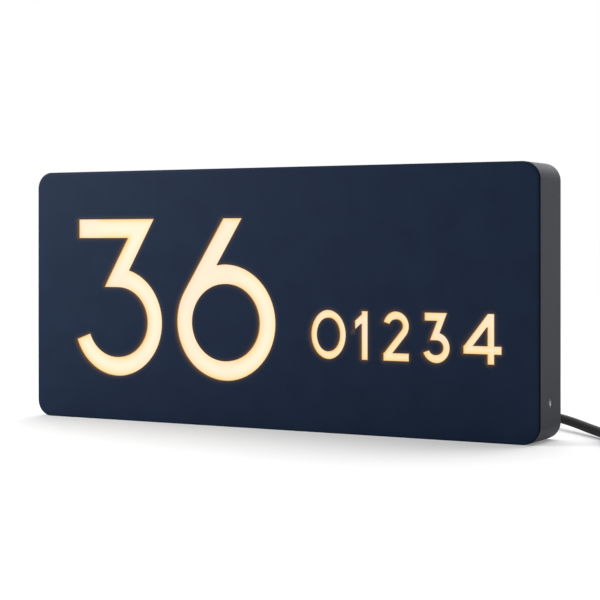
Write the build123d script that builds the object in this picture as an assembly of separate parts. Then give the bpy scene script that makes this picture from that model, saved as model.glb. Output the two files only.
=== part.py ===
from build123d import *
import os
from math import asin, atan2, cos, degrees, hypot, pi, radians, sin, tan

# Illuminated house number sign. Millimetres. X runs to the viewer's right, Y to the back and Z up. The
# origin is under the middle of the box, on the surface that it stands on; the face looks along -Y.

# Box
sign_width = 350.0
sign_height = 160.0
sign_depth = 36.0
corner_radius = 10.5

# Face plate, its gasket, and the frame behind it
face_thickness = 2.0
face_edge_radius = 0.5
gasket_thickness = 0.5
gasket_inset = 0.9
frame_wall = 2.0
flange_width = 8.0
flange_thickness = 1.5
frame_rear_radius = 0.6
least_corner = 0.5
close_fit = 0.3
snug_fit = 0.02

# How far a cut runs past the surface that it opens
overrun = 1.0

# Large digits
large_cap = 99.6
large_stroke = 12.0
large_overshoot = 1.0
large_drop = 50.6
large_base = sign_height / 2 - large_drop
three_bowl = 34.5
three_left = -146.0
three_lean = 60.0
six_bowl = 36.0
six_left = -66.5
six_lean = 58.0

# Small digits
small_cap = 28.8
small_stroke = 4.6
small_overshoot = 0.3
small_drop = 35.4
small_base = sign_height / 2 - small_drop
small_zero_left = 29.5
small_zero_width = 24.0
small_one_left = 59.0
small_one_width = 9.0
small_two_left = 77.6
small_two_bowl = 8.6
small_three_left = 102.8
small_three_bowl = 8.9
small_three_lean = 68.0
small_four_left = 128.5
small_four_width = 24.0

# Angles at which curved strokes end
two_hook_end = 165.0
three_tail_start = 200.0
three_tail_sweep = 250.0

# Studs on the back of the face plate, and what they hold
stud_diameter = 3.0
stud_length = 8.0
stud_spacing_across = 110.0
stud_rise = 30.0
stud_clearance = 0.2
clip_width = 12.0
clip_thickness = 1.0
clip_lap = 3.0
nut_flats = 5.5
nut_height = 2.4
nut_gap = 0.1

# Back plate and its seal
plate_thickness = 2.0
plate_recess = 0.5
plate_gap = 1.6
seal_lip = 1.0
seal_reach = 2.4
wall_hole_diameter = 5.0
wall_hole_inset = 25.0

# Brackets that carry the cover
bracket_thickness = 2.0
bracket_width = 24.0
bracket_foot = 14.0
bracket_gap = 0.4
bracket_reach = 23.0
guide_spacing = 120.0
rivet_diameter = 3.2
rivet_head_diameter = 6.0
rivet_head_height = 1.0
rivet_spacing = 14.0
rivet_edge = 1.5

# Side screws
screw_height = 22.5
screw_diameter = 3.0
screw_length = 8.0
screw_head_diameter = 5.6
screw_head_height = 1.6
screw_socket_flats = 2.0
screw_socket_depth = 1.1
screw_sink = 0.1
side_nut_thickness = 2.3

# LED bars: those behind the large digits end at a set distance from the left side, the others from the right
bar_thickness = 1.6
bar_width = 10.0
bar_corner = 1.0
large_bar_margin = 33.0
large_bar_right = 10.0
large_bar_count = 4
large_bar_pitch = 30.0
large_chip_count = 8
small_bar_margin = 17.0
small_bar_left = 26.0
small_bar_count = 2
small_bar_pitch = 18.0
small_chip_count = 7
chip_width = 3.5
chip_height = 2.8
chip_thickness = 0.8
bar_screw_head_diameter = 5.4
bar_screw_head_height = 1.8
cross_slot = 0.6
bar_end_margin = 10.0
sheet_thickness = 0.4
sheet_margin = 0.6
sheet_border = 9.0
sheet_gap = 1.0

# Driver
driver_length = 104.0
driver_width = 38.0
driver_depth = 19.0
driver_wall = 1.6
driver_inset = 87.0
driver_drop = 47.0
driver_middle = sign_width / 2 - driver_inset
driver_height = sign_height - driver_drop
driver_lid_thickness = 1.8
driver_corner = 2.0
spigot_height = 1.0
board_thickness = 1.6
board_rest = 2.5
board_gap = 0.5
pillar_diameter = 5.0
pillar_inset = 6.0
transformer_length = 22.0
transformer_width = 18.0
transformer_height = 9.0
transformer_across = -4.0
transformer_up = -4.0
capacitor_diameter = 9.0
capacitor_length = 18.0
capacitor_across = 24.0
capacitor_up = -9.0
filter_length = 13.0
filter_width = 7.0
filter_height = 8.0
filter_across = -30.0
filter_up = -7.0
component_corner = 1.0
case_lead_rise = 4.0
strap_width = 12.0
strap_thickness = 1.0
strap_foot = 9.0
strap_spacing = 62.0

# Terminal block
terminal_length = 22.0
terminal_width = 16.0
terminal_depth = 12.0
terminal_inset = 60.0
terminal_middle = sign_width / 2 - terminal_inset
terminal_height = 22.0
terminal_pitch = 8.0
terminal_screw_diameter = 3.6
terminal_screw_slot = 0.7
terminal_corner = 1.0

# Leads inside
core_diameter = 2.0
wire_diameter = 1.6
wire_spacing = 4.0
core_bend = 2.0
pair_gap = 3.5
lead_insert = 3.0
lead_turn_reach = 18.0
lead_turn_across = terminal_middle + lead_turn_reach
lead_turn_height = 36.5
lead_rise_inset = 13.5
lead_rise_across = sign_width / 2 - lead_rise_inset
lead_slope_start = 12.0
lead_slope_end = 5.0
lead_clip_width = 9.0
lead_clip_length = 5.0
lead_clip_wall = 1.2
lead_clip_rise = 22.0
lead_clip_drop = 18.0
output_reach = 6.0
link_inset = 4.0
link_lap = 1.0
link_end = 1.5

# Gland and cord
gland_across = 66.0
gland_height = 18.0
gland_thread_diameter = 12.0
gland_flats = 15.0
gland_flange_height = 5.0
gland_washer_thickness = 1.0
gland_washer_diameter = 17.0
gland_cap_height = 7.0
gland_cap_diameter = 14.6
gland_cap_wall = 1.7
gland_cap_bevel = 1.5
gland_cap_play = 0.1
gland_cap_flutes = 12
gland_flute_radius = 0.5
gland_neck_inset = 0.8
gland_neck_wall = 1.6
gland_thread_overhang = 1.0
locknut_height = 4.0
boot_length = 21.0
boot_root_diameter = 9.6
boot_tip_diameter = 7.6
boot_ribs = 4
boot_groove = 0.2
cord_diameter = 5.7
cord_clearance = 0.15

# Route of the free cord, after the point where it leaves the boot, up to the coil
lead_route = [
    (66.0, 66.0, 18.0),
    (74.9, 86.1, 15.5),
    (93.2, 98.4, 12.5),
    (115.2, 99.2, 9.8),
    (137.7, 86.2, 7.6),
    (163.4, 63.9, 5.4),
    (191.2, 38.0, 3.5),
    (212.6, 14.2, 3.5),
]

# Coil of the length that is put away
coil_pitch = 6.3
coil_inner_radius = 23.0
coil_half_turns = 6
tie_width = 8.0
tie_thickness = 0.5
tie_clearance = 0.9
tie_lift = 0.65

# Tail from the coil to the plug: length, turn from the lead's last heading, and rise of each run
tail_runs = [
    (13.0, 0.0, 0.0),
    (18.0, 23.0, -2.8),
    (18.0, 46.0, -2.6),
    (18.0, 69.0, -0.8),
    (18.0, 92.0, 3.25),
    (14.0, 115.0, 0.0),
]

# Plug
plug_width = 35.3
plug_thickness = 13.7
plug_length = 36.0
plug_shoulder = 15.0
plug_neck_width = 16.0
plug_neck_thickness = 10.5
plug_boot_length = 20.0
plug_boot_tip_diameter = 7.4
plug_boot_root_diameter = 10.5
pin_spacing = 18.6
pin_diameter = 4.0
pin_length = 19.0
pin_sleeve_length = 10.0
pin_core_diameter = 2.8
pin_sleeve_diameter = 3.8

# Levels through the depth, from the front to the back
front = -sign_depth / 2
back = sign_depth / 2
face_back = front + face_thickness
flange_front = face_back + gasket_thickness
flange_back = flange_front + flange_thickness
diffuser_thickness = flange_back - face_back
plate_back = back - plate_recess
plate_front = plate_back - plate_thickness
bar_front = plate_front - bar_thickness
chip_front = bar_front - chip_thickness
wire_level = bar_front - close_fit - wire_diameter / 2
middle_height = sign_height / 2
flange_inset = frame_wall + flange_width
stud_inset = frame_wall + flange_width / 2
tab_outer = sign_width / 2 - frame_wall - bracket_gap
tab_tip = plate_front - bracket_reach
rivet_line = bracket_foot - rivet_head_diameter / 2 - rivet_edge
wall_hole_places = [
    (across * (sign_width - 2 * wall_hole_inset), middle_height + up * (sign_height - 2 * wall_hole_inset))
    for across in (-0.5, 0.5)
    for up in (-0.5, 0.5)
]

os.makedirs("parts", exist_ok=True)


def save(name, *solids):
    """Writes the solids of one node to its own file."""
    shape = solids[0] if len(solids) == 1 else Compound(list(solids))
    export_step(shape, f"parts/{name}.step")


def slab(sketch, start, thickness):
    """A flat piece of the sketch's outline. Its front face is at Y = start."""
    return Pos(0, start + thickness, 0) * extrude(Plane.XZ * sketch, thickness)


def outline(inset):
    """The box's rounded outline, drawn in from its edge by inset."""
    radius = max(corner_radius - inset, least_corner)
    shape = RectangleRounded(sign_width - 2 * inset, sign_height - 2 * inset, radius)
    return Pos(0, middle_height) * shape


def at(x, z, shape):
    """A sketch moved to X = x and Z = z."""
    return Pos(x, z) * shape


def polygon(*points):
    """A flat polygon through the points, in the order given."""
    return make_face(Polyline(*points, close=True))


def turned(profile, x, z):
    """A turned piece about a line along Y, from (radius, Y) pairs."""
    return Pos(x, 0, z) * revolve(polygon(*profile), Axis.Y)


# Digits. Each is drawn on its base line with its left edge at 0, and comes with its closed counter, if any.


def arc_stroke(x, z, outer, stroke, start, sweep):
    """A ring's stretch from the angle start, turned through sweep."""
    rim = CenterArc((x, z), outer, start, sweep)
    inside = CenterArc((x, z), outer - stroke, start, sweep)
    return make_face([rim, inside, Line(rim @ 0, inside @ 0), Line(rim @ 1, inside @ 1)])


def leaning_stroke(x, low, high, lean, stroke):
    """A straight stroke at the angle lean, cut level at both ends. Its lower left corner is at x."""
    reach = stroke / sin(radians(lean))
    run = (high - low) / tan(radians(lean))
    return polygon((x, low), (x + reach, low), (x + reach + run, high), (x + run, high))


def block(left, low, right, high):
    """A rectangle between two corners."""
    return Pos((left + right) / 2, (low + high) / 2) * Rectangle(right - left, high - low)


def digit_zero(cap, width, stroke, overshoot):
    middle = Pos(width / 2, cap / 2)
    counter = middle * Ellipse(width / 2 - stroke, cap / 2 + overshoot - stroke)
    return middle * Ellipse(width / 2, cap / 2 + overshoot) - counter, counter


def digit_one(cap, width, stroke):
    flag_drop = 0.8 * (width - stroke)
    flag_depth = 1.2 * stroke
    stem = block(width - stroke, 0, width, cap)
    joint = width - stroke / 2
    low = cap - flag_drop - stroke / 2
    flag = polygon((0, low), (joint, cap), (joint, cap - flag_depth), (0, low - flag_depth))
    return stem + flag


def digit_two(cap, stroke, bowl, overshoot):
    centre_z = cap + overshoot - bowl
    inner = bowl - stroke
    heel = 0.85 * stroke
    away = hypot(bowl, centre_z - heel)
    lean = degrees(atan2(centre_z - heel, bowl) - asin(inner / away))
    side = radians(lean - 90)
    upper = (bowl + inner * cos(side), centre_z + inner * sin(side))
    lower = (bowl + bowl * cos(side), centre_z + bowl * sin(side))
    foot = lower[0] - lower[1] / tan(radians(lean))
    diagonal = polygon((0, 0), (foot, 0), lower, upper, (0, heel))
    top = arc_stroke(bowl, centre_z, bowl, stroke, lean - 90, two_hook_end + 90 - lean)
    return diagonal + top + block(0, 0, 2 * bowl, stroke)


def digit_three(cap, stroke, bowl, overshoot, lean):
    centre_z = bowl - overshoot
    shelf = centre_z + bowl - stroke
    slope = tan(radians(lean))
    vertex = bowl - 0.9 * stroke
    reach = stroke / sin(radians(lean))
    right = vertex + reach + (cap - shelf) / slope
    top_bar = block(0.3 * stroke, cap - stroke, right - 0.7 * reach, cap)
    diagonal = leaning_stroke(vertex, shelf, cap, lean, stroke)
    stub = block(vertex + stroke / slope, shelf, bowl, shelf + stroke)
    curve = arc_stroke(bowl, centre_z, bowl, stroke, three_tail_start, three_tail_sweep)
    return top_bar + diagonal + stub + curve


def digit_four(cap, width, stroke):
    bar_low = 0.2 * cap
    bar_high = bar_low + stroke
    stem_left = 0.67 * width - stroke / 4
    stem_right = stem_left + stroke
    apex = stem_right - 0.95 * stroke
    heel = bar_low + 0.85 * stroke
    lean = atan2(cap - heel, apex)
    reach = stroke / sin(lean)
    corner = (bar_high - heel) / tan(lean) + reach
    peak = heel + (stem_left - reach) * tan(lean)
    body = polygon((0, bar_low), (stem_right, bar_low), (stem_right, cap), (apex, cap), (0, heel))
    counter = polygon((corner, bar_high), (stem_left, bar_high), (stem_left, peak))
    stem = block(stem_left, 0, stem_right, bar_high)
    return body + stem + block(0, bar_low, width, bar_high) - counter, counter


def digit_six(cap, stroke, bowl, overshoot, lean):
    centre_z = bowl - overshoot
    inner = bowl - stroke
    normal = radians(lean + 90)
    slope = tan(radians(lean))
    outer_start = (bowl + bowl * cos(normal), centre_z + bowl * sin(normal))
    inner_start = (bowl + inner * cos(normal), centre_z + inner * sin(normal))
    outer_end = (outer_start[0] + (cap - outer_start[1]) / slope, cap)
    inner_end = (inner_start[0] + (cap - inner_start[1]) / slope, cap)
    counter = Pos(bowl, centre_z) * Circle(inner)
    ring = Pos(bowl, centre_z) * Circle(bowl) - counter
    return ring + polygon(outer_start, outer_end, inner_end, inner_start), counter


three = digit_three(large_cap, large_stroke, three_bowl, large_overshoot, three_lean)
three = at(three_left, large_base, three)
six, six_counter = digit_six(large_cap, large_stroke, six_bowl, large_overshoot, six_lean)
six = at(six_left, large_base, six)
six_counter = at(six_left, large_base, six_counter)

zero, zero_counter = digit_zero(small_cap, small_zero_width, small_stroke, small_overshoot)
zero = at(small_zero_left, small_base, zero)
zero_counter = at(small_zero_left, small_base, zero_counter)
one = at(small_one_left, small_base, digit_one(small_cap, small_one_width, small_stroke))
two = at(small_two_left, small_base, digit_two(small_cap, small_stroke, small_two_bowl, small_overshoot))
small_three = digit_three(small_cap, small_stroke, small_three_bowl, small_overshoot, small_three_lean)
small_three = at(small_three_left, small_base, small_three)
four, four_counter = digit_four(small_cap, small_four_width, small_stroke)
four = at(small_four_left, small_base, four)
four_counter = at(small_four_left, small_base, four_counter)

# Cover: face plate with the digits cut through, and the counters that the cuts leave loose

face_blank = slab(outline(0), front, face_thickness)
front_edges = face_blank.edges().group_by(Axis.Y)[0]
face_blank = fillet(front_edges, min(face_edge_radius, 0.45 * face_thickness))
cuts = [three, six + six_counter, zero + zero_counter, one, two, small_three, four + four_counter]
face_plate = face_blank
for cut in cuts:
    face_plate -= slab(cut, front - overrun, face_thickness + 2 * overrun)
save("face_plate", face_plate)
save("large_digit_counter", slab(six_counter, front, face_thickness))
save(
    "small_digit_counters",
    slab(zero_counter, front, face_thickness),
    slab(four_counter, front, face_thickness),
)

# Studs welded to the back of the face plate: three along the top and the bottom, two at each side

stud_places = []
for edge in (stud_inset, sign_height - stud_inset):
    for column in (-stud_spacing_across, 0, stud_spacing_across):
        stud_places.append((column, edge, 0 if edge < middle_height else 180))
for side in (-1, 1):
    for row in (-stud_rise, stud_rise):
        stud_places.append((side * (sign_width / 2 - stud_inset), middle_height + row, -90 * side + 180))
stud_holes = [at(x, z, Circle(stud_diameter / 2 + stud_clearance)) for x, z, turn in stud_places]

gasket = outline(gasket_inset) - outline(flange_inset - close_fit)
gasket -= stud_holes
save("face_gasket", slab(gasket, face_back, gasket_thickness))

studs = [slab(at(x, z, Circle(stud_diameter / 2)), face_back, stud_length) for x, z, turn in stud_places]
save("face_studs", *studs)

# Frame: a band bent round the box, with a flange turned in at the front

band = slab(outline(0), flange_front, back - flange_front)
band = fillet(band.edges().group_by(Axis.Y)[-1], min(frame_rear_radius, 0.4 * frame_wall))
band -= slab(outline(frame_wall), flange_back, back - flange_back + overrun)
band -= slab(outline(flange_inset), flange_front - overrun, flange_thickness + 2 * overrun)
for hole in stud_holes:
    band -= slab(hole, flange_front - overrun, flange_thickness + 2 * overrun)
hole_radius = screw_diameter / 2 + stud_clearance
sink_radius = screw_head_diameter / 2 + stud_clearance
sink_depth = min(screw_head_height + screw_sink, 0.9 * frame_wall)
for side in (-1, 1):
    to_side = Pos(side * sign_width / 2, 0, screw_height) * Rot(0, 90 * side, 0)
    band -= to_side * Cylinder(hole_radius, 4 * frame_wall)
    band -= to_side * Pos(0, 0, -sink_depth / 2) * Cone(hole_radius, sink_radius, sink_depth)
save("housing_frame", band)

# Diffuser, flush with the flange behind it, and the clips and nuts that hold it

save("diffuser_panel", slab(outline(flange_inset + close_fit), face_back, diffuser_thickness))

clip_length = flange_width / 2 + clip_lap + stud_diameter
clip = RectangleRounded(clip_width, clip_length, stud_diameter / 2)
clip = Pos(0, clip_length / 2 - stud_diameter) * clip - Circle(stud_diameter / 2 + stud_clearance)
clips = [slab(Pos(x, z) * Rot(0, 0, turn) * clip, flange_back, clip_thickness) for x, z, turn in stud_places]
save("retainer_clips", *clips)

nut = RegularPolygon(nut_flats / 2, 6, major_radius=False)
nut -= Circle(stud_diameter / 2 + snug_fit)
nuts = [slab(at(x, z, nut), flange_back + clip_thickness, nut_height) for x, z, turn in stud_places]
save("stud_nuts", *nuts)

# Side screws, countersunk in the frame's sides, and their square nuts behind the bracket tabs

side_screws = []
side_nuts = []
shank_length = screw_length - screw_head_height
socket = extrude(RegularPolygon(screw_socket_flats / 2, 6, major_radius=False), screw_socket_depth)
for side in (-1, 1):
    to_side = Pos(side * (sign_width / 2 - screw_sink), 0, screw_height) * Rot(0, 90 * side, 0)
    head = Pos(0, 0, -screw_head_height / 2) * Cone(
        screw_diameter / 2, screw_head_diameter / 2, screw_head_height
    )
    shank = Pos(0, 0, -screw_head_height - shank_length / 2) * Cylinder(screw_diameter / 2, shank_length)
    screw = head + shank - Pos(0, 0, -screw_socket_depth) * socket
    side_screws.append(to_side * screw)
    nut_middle = tab_outer - bracket_thickness - nut_gap - side_nut_thickness / 2
    side_nut = Box(side_nut_thickness, nut_flats, nut_flats)
    side_nut -= Rot(0, 90, 0) * Cylinder(screw_diameter / 2 + snug_fit, 4 * side_nut_thickness)
    side_nuts.append(Pos(side * nut_middle, 0, screw_height) * side_nut)
save("side_screws", *side_screws)
save("side_nuts", *side_nuts)

# Base: brackets that carry the cover. Each is an L of strip, riveted to the back plate

tab = Pos(tab_outer - bracket_thickness / 2, (tab_tip + plate_front) / 2, screw_height) * Box(
    bracket_thickness, bracket_reach, bracket_width
)
foot = Pos(tab_outer - bracket_foot / 2, plate_front - bracket_thickness / 2, screw_height) * Box(
    bracket_foot, bracket_thickness, bracket_width
)
slot_half = screw_diameter / 2 + close_fit
slot_length = overrun - tab_tip
slot = Pos(tab_outer, -slot_length / 2, screw_height) * Box(4 * bracket_thickness, slot_length, 2 * slot_half)
slot += Pos(tab_outer, 0, screw_height) * Rot(0, 90, 0) * Cylinder(slot_half, 4 * bracket_thickness)
side_bracket = tab + foot - slot

rivet_places = []
for side in (-1, 1):
    for step in (-0.5, 0.5):
        place = (side * (tab_outer - rivet_line), screw_height + step * rivet_spacing)
        rivet_places.append(place)
guide_top = sign_height - frame_wall - bracket_gap
for side in (-1, 1):
    for step in (-0.5, 0.5):
        place = (side * guide_spacing / 2 + step * rivet_spacing, guide_top - rivet_line)
        rivet_places.append(place)
rivet_holes = [at(x, z, Circle(rivet_diameter / 2)) for x, z in rivet_places]
drill = [slab(hole, front, sign_depth) for hole in rivet_holes]

side_bracket -= drill
save("side_brackets", side_bracket, mirror(side_bracket, Plane.YZ) - drill)

guides = []
for side in (-1, 1):
    guide_tab = Pos(0, (tab_tip + plate_front) / 2, -bracket_thickness / 2) * Box(
        bracket_width, bracket_reach, bracket_thickness
    )
    guide_foot = Pos(0, plate_front - bracket_thickness / 2, -bracket_foot / 2) * Box(
        bracket_width, bracket_thickness, bracket_foot
    )
    guide = Pos(side * guide_spacing / 2, 0, guide_top) * (guide_tab + guide_foot)
    guides.append(guide - drill)
save("top_guides", *guides)

rivets = []
for x, z in rivet_places:
    seat = plate_front - bracket_thickness
    body = slab(at(x, z, Circle(rivet_diameter / 2 - snug_fit)), seat, bracket_thickness + plate_thickness)
    head = slab(at(x, z, Circle(rivet_head_diameter / 2)), seat - rivet_head_height, rivet_head_height)
    rivets.append(body + head)
save("bracket_rivets", *rivets)

# Places of the LED bars: middle, length, height and number of chips

large_bar_left = large_bar_margin - sign_width / 2
small_bar_right = sign_width / 2 - small_bar_margin
large_bar_length = large_bar_right - large_bar_left
small_bar_length = small_bar_right - small_bar_left
large_bar_middle = (large_bar_left + large_bar_right) / 2
small_bar_middle = (small_bar_left + small_bar_right) / 2
small_bar_height = small_base + small_cap / 2
bars = []
for number in range(large_bar_count):
    height = middle_height + (number - (large_bar_count - 1) / 2) * large_bar_pitch
    bars.append((large_bar_middle, large_bar_length, height, large_chip_count))
for number in range(small_bar_count):
    height = small_bar_height + (number - (small_bar_count - 1) / 2) * small_bar_pitch
    bars.append((small_bar_middle, small_bar_length, height, small_chip_count))


def chip_columns(middle, length, count):
    """Where the chips of one bar stand."""
    pitch = (length - 2 * bar_end_margin) / count
    return [middle + (number - (count - 1) / 2) * pitch for number in range(count)]


def bar_screw_columns(middle, length, count):
    """Where the two screws of one bar stand, each between two chips."""
    pitch = (length - 2 * bar_end_margin) / count
    step = (count // 2 - 1) * pitch + (0 if count % 2 == 0 else pitch / 2)
    return [middle - step, middle + step]


bar_screw_places = []
for middle, length, height, count in bars:
    for column in bar_screw_columns(middle, length, count):
        bar_screw_places.append((column, height))

# Back plate, with holes for the wall screws, the gland, the rivets and the bar screws

plate = outline(frame_wall + plate_gap)
plate -= [at(x, z, Circle(wall_hole_diameter / 2)) for x, z in wall_hole_places]
plate -= at(gland_across, gland_height, Circle(gland_thread_diameter / 2 + cord_clearance))
plate -= rivet_holes
plate -= [at(x, z, Circle(screw_diameter / 2)) for x, z in bar_screw_places]

strap_places = []
strap_span = driver_width + 2 * strap_thickness + 2 * close_fit
for across in (-0.5, 0.5):
    for up in (-1, 1):
        column = driver_middle + across * strap_spacing
        strap_places.append((column, driver_height + up * (strap_span + strap_foot) / 2))
strap_holes = [at(x, z, Circle(screw_diameter / 2)) for x, z in strap_places]
plate -= strap_holes
save("back_plate", slab(plate, plate_front, plate_thickness))

# Rim seal: a rubber channel on the plate's edge, which bears on the inside of the frame

seal_outer = frame_wall + close_fit
seal_inner = frame_wall + plate_gap + seal_reach
seal_front = plate_front - seal_lip
seal = slab(outline(seal_outer) - outline(seal_inner), seal_front, plate_back - seal_front)
seal -= slab(outline(frame_wall + plate_gap), plate_front, plate_thickness + overrun)
for x, z in rivet_places:
    seal -= slab(at(x, z, Circle(rivet_head_diameter / 2 + close_fit)), front, sign_depth)
for side in (-1, 1):
    foot_inner = tab_outer - bracket_foot - close_fit
    foot_half = bracket_width / 2 + close_fit
    notch = block(foot_inner, screw_height - foot_half, tab_outer + close_fit / 2, screw_height + foot_half)
    notch = notch if side > 0 else mirror(notch, Plane.YZ)
    seal -= slab(notch, front, plate_front - front)
    top_middle = side * guide_spacing / 2
    top_notch = block(
        top_middle - foot_half, guide_top - bracket_foot - close_fit, top_middle + foot_half,
        guide_top + close_fit / 2,
    )
    seal -= slab(top_notch, front, plate_front - front)
save("rim_seal", seal)

# Reflector sheet on the plate, cut out round the bars, the screws and the wall holes

sheet_top = guide_top - bracket_foot - sheet_gap
sheet_left = bracket_foot + sheet_gap - tab_outer
case_left = driver_middle - driver_length / 2
strap_edge = driver_height - strap_span / 2 - strap_foot - sheet_gap
left_zone = block(sheet_left, sign_height - sheet_top, case_left - sheet_border, sheet_top)
clip_edge = lead_rise_across + pair_gap / 2 - lead_clip_width / 2 - sheet_gap
lowest_bar = small_bar_height - (small_bar_count - 1) / 2 * small_bar_pitch
right_zone = block(large_bar_middle, lowest_bar - bar_width / 2 - sheet_border, clip_edge, strap_edge)
sheet = left_zone + right_zone
for middle, length, height, count in bars:
    sheet -= at(middle, height, Rectangle(length + 2 * sheet_margin, bar_width + 2 * sheet_margin))
sheet -= [at(x, z, Circle(wall_hole_diameter)) for x, z in wall_hole_places]
save("reflector_sheet", slab(sheet, plate_front - sheet_thickness, sheet_thickness))

# LED bars with their chips and screws

for number, (middle, length, height, count) in enumerate(bars, 1):
    bar = at(middle, height, RectangleRounded(length, bar_width, bar_corner))
    bar -= [at(x, height, Circle(screw_diameter / 2)) for x in bar_screw_columns(middle, length, count)]
    save(f"led_bar_{number}", slab(bar, bar_front, bar_thickness))
    chips = []
    for column in chip_columns(middle, length, count):
        chips.append(slab(at(column, height, Rectangle(chip_width, chip_height)), chip_front, chip_thickness))
    save(f"led_chips_{number}", *chips)


def pan_screw(x, z, seat):
    """A cross-recess screw whose head sits at Y = seat and whose shank ends flush with the plate's back."""
    head_front = seat - bar_screw_head_height
    head = slab(at(x, z, Circle(bar_screw_head_diameter / 2)), head_front, bar_screw_head_height)
    head = fillet(head.edges().group_by(Axis.Y)[0], 0.4 * bar_screw_head_height)
    shank = slab(at(x, z, Circle(screw_diameter / 2 - snug_fit)), seat, plate_back - seat)
    arm = 0.55 * bar_screw_head_diameter
    cross = Rectangle(cross_slot, arm) + Rectangle(arm, cross_slot)
    return head + shank - slab(at(x, z, cross), head_front, 0.5 * bar_screw_head_height)


save("bar_screws", *[pan_screw(x, z, bar_front) for x, z in bar_screw_places])

# Driver: a moulded case with pillars, its board and lid, under two straps

driver_front = plate_front - driver_depth
case_front = driver_front + driver_lid_thickness
driver_place = Pos(driver_middle, 0, driver_height)
board_back = plate_front - driver_wall - board_rest
board_front = board_back - board_thickness
lead_level = board_front - core_diameter / 2 - nut_gap
board_length = driver_length - 2 * driver_wall - 2 * board_gap
board_width = driver_width - 2 * driver_wall - 2 * board_gap


def driver_slab(sketch, start, thickness):
    """A flat piece drawn about the driver's middle."""
    return driver_place * slab(sketch, start, thickness)


case_outline = RectangleRounded(driver_length, driver_width, driver_corner)
case = driver_slab(case_outline, case_front, plate_front - case_front)
pocket = RectangleRounded(driver_length - 2 * driver_wall, driver_width - 2 * driver_wall, least_corner)
case -= driver_slab(pocket, case_front, plate_front - driver_wall - case_front)
pillar_grid = GridLocations(board_length - 2 * pillar_inset, board_width - 2 * pillar_inset, 2, 2)
pillars = [spot * Circle(pillar_diameter / 2) for spot in pillar_grid]
case += driver_slab(Sketch() + pillars, board_back, board_rest)
case_leads = (case_lead_rise, case_lead_rise + pair_gap)
for z in case_leads:
    hole = Rot(0, 90, 0) * Cylinder(core_diameter / 2 + cord_clearance, driver_length + 2 * overrun)
    case -= Pos(driver_middle, lead_level, driver_height + z) * hole
save("driver_case", case)

lid = driver_slab(case_outline, driver_front, driver_lid_thickness)
lid = fillet(lid.edges().group_by(Axis.Y)[0], 0.4 * driver_lid_thickness)
spigot_drop = 2 * driver_wall + close_fit
spigot = RectangleRounded(driver_length - spigot_drop, driver_width - spigot_drop, least_corner)
spigot_hole = RectangleRounded(driver_length - 4 * driver_wall, driver_width - 4 * driver_wall, least_corner)
lid += driver_slab(spigot - spigot_hole, case_front, spigot_height)
save("driver_lid", lid)
save("driver_board", driver_slab(Rectangle(board_length, board_width), board_front, board_thickness))

winding = RectangleRounded(0.8 * transformer_length, transformer_width, component_corner)
core = Rectangle(transformer_length, 0.55 * transformer_width)
transformer = slab(winding, board_front - 0.85 * transformer_height, 0.85 * transformer_height)
transformer += slab(core, board_front - transformer_height, transformer_height)
capacitor = Pos(0, board_front - capacitor_diameter / 2, 0) * Rot(0, 90, 0) * Cylinder(
    capacitor_diameter / 2, capacitor_length
)
filter_outline = RectangleRounded(filter_length, filter_width, component_corner)
filter_block = slab(filter_outline, board_front - filter_height, filter_height)
save(
    "driver_components",
    driver_place * Pos(transformer_across, 0, transformer_up) * transformer,
    driver_place * Pos(capacitor_across, 0, capacitor_up) * capacitor,
    driver_place * Pos(filter_across, 0, filter_up) * Rot(0, 90, 0) * filter_block,
)

straps = []
for across in (-0.5, 0.5):
    column = driver_middle + across * strap_spacing
    half_span = strap_span / 2
    strap = Pos(0, driver_front - strap_thickness / 2, 0) * Box(strap_width, strap_thickness, strap_span)
    for up in (-1, 1):
        side_depth = driver_depth + strap_thickness
        side_place = Pos(0, plate_front - side_depth / 2, up * (half_span - strap_thickness / 2))
        strap += side_place * Box(strap_width, side_depth, strap_thickness)
        foot_place = Pos(0, plate_front - strap_thickness / 2, up * (half_span + strap_foot / 2))
        strap += foot_place * Box(strap_width, strap_thickness, strap_foot)
    strap = Pos(column, 0, driver_height) * strap
    straps.append(strap - [slab(hole, front, sign_depth) for hole in strap_holes])
save("driver_straps", *straps)
save("strap_screws", *[pan_screw(x, z, plate_front - strap_thickness) for x, z in strap_places])

# Terminal block, with its wire holes level with the driver's

terminal_front = plate_front - terminal_depth
terminal_place = Pos(terminal_middle, 0, terminal_height)
terminal_outline = RectangleRounded(terminal_length, terminal_width, terminal_corner)
terminal = slab(terminal_outline, terminal_front, terminal_depth)
terminal_screws = []
well_depth = lead_level - core_diameter / 2 - terminal_corner - terminal_front
for side in (-0.5, 0.5):
    z = side * terminal_pitch
    bore = Rot(0, 90, 0) * Cylinder(core_diameter / 2 + cord_clearance, terminal_length + 2 * overrun)
    terminal -= Pos(0, lead_level, z) * bore
    well = at(0, z, Circle(terminal_screw_diameter / 2 + cord_clearance))
    terminal -= slab(well, terminal_front, well_depth)
    shank = at(0, z, Circle(terminal_screw_diameter / 2))
    screw = slab(shank, terminal_front + 0.2 * well_depth, 0.8 * well_depth)
    screw_slot = at(0, z, Rectangle(terminal_screw_slot, terminal_screw_diameter))
    screw -= slab(screw_slot, terminal_front, 0.5 * well_depth)
    terminal_screws.append(terminal_place * screw)
save("terminal_block", terminal_place * terminal)
save("terminal_screws", *terminal_screws)

# Leads inside the box


def wire(points, diameter, bend):
    """A round lead along straight runs, with every corner bent to the same radius."""
    path = Line(*points) if len(points) == 2 else FilletPolyline(*points, radius=bend)
    section = Plane(origin=points[0], z_dir=path % 0) * Circle(diameter / 2)
    return sweep(section, path)


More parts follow.
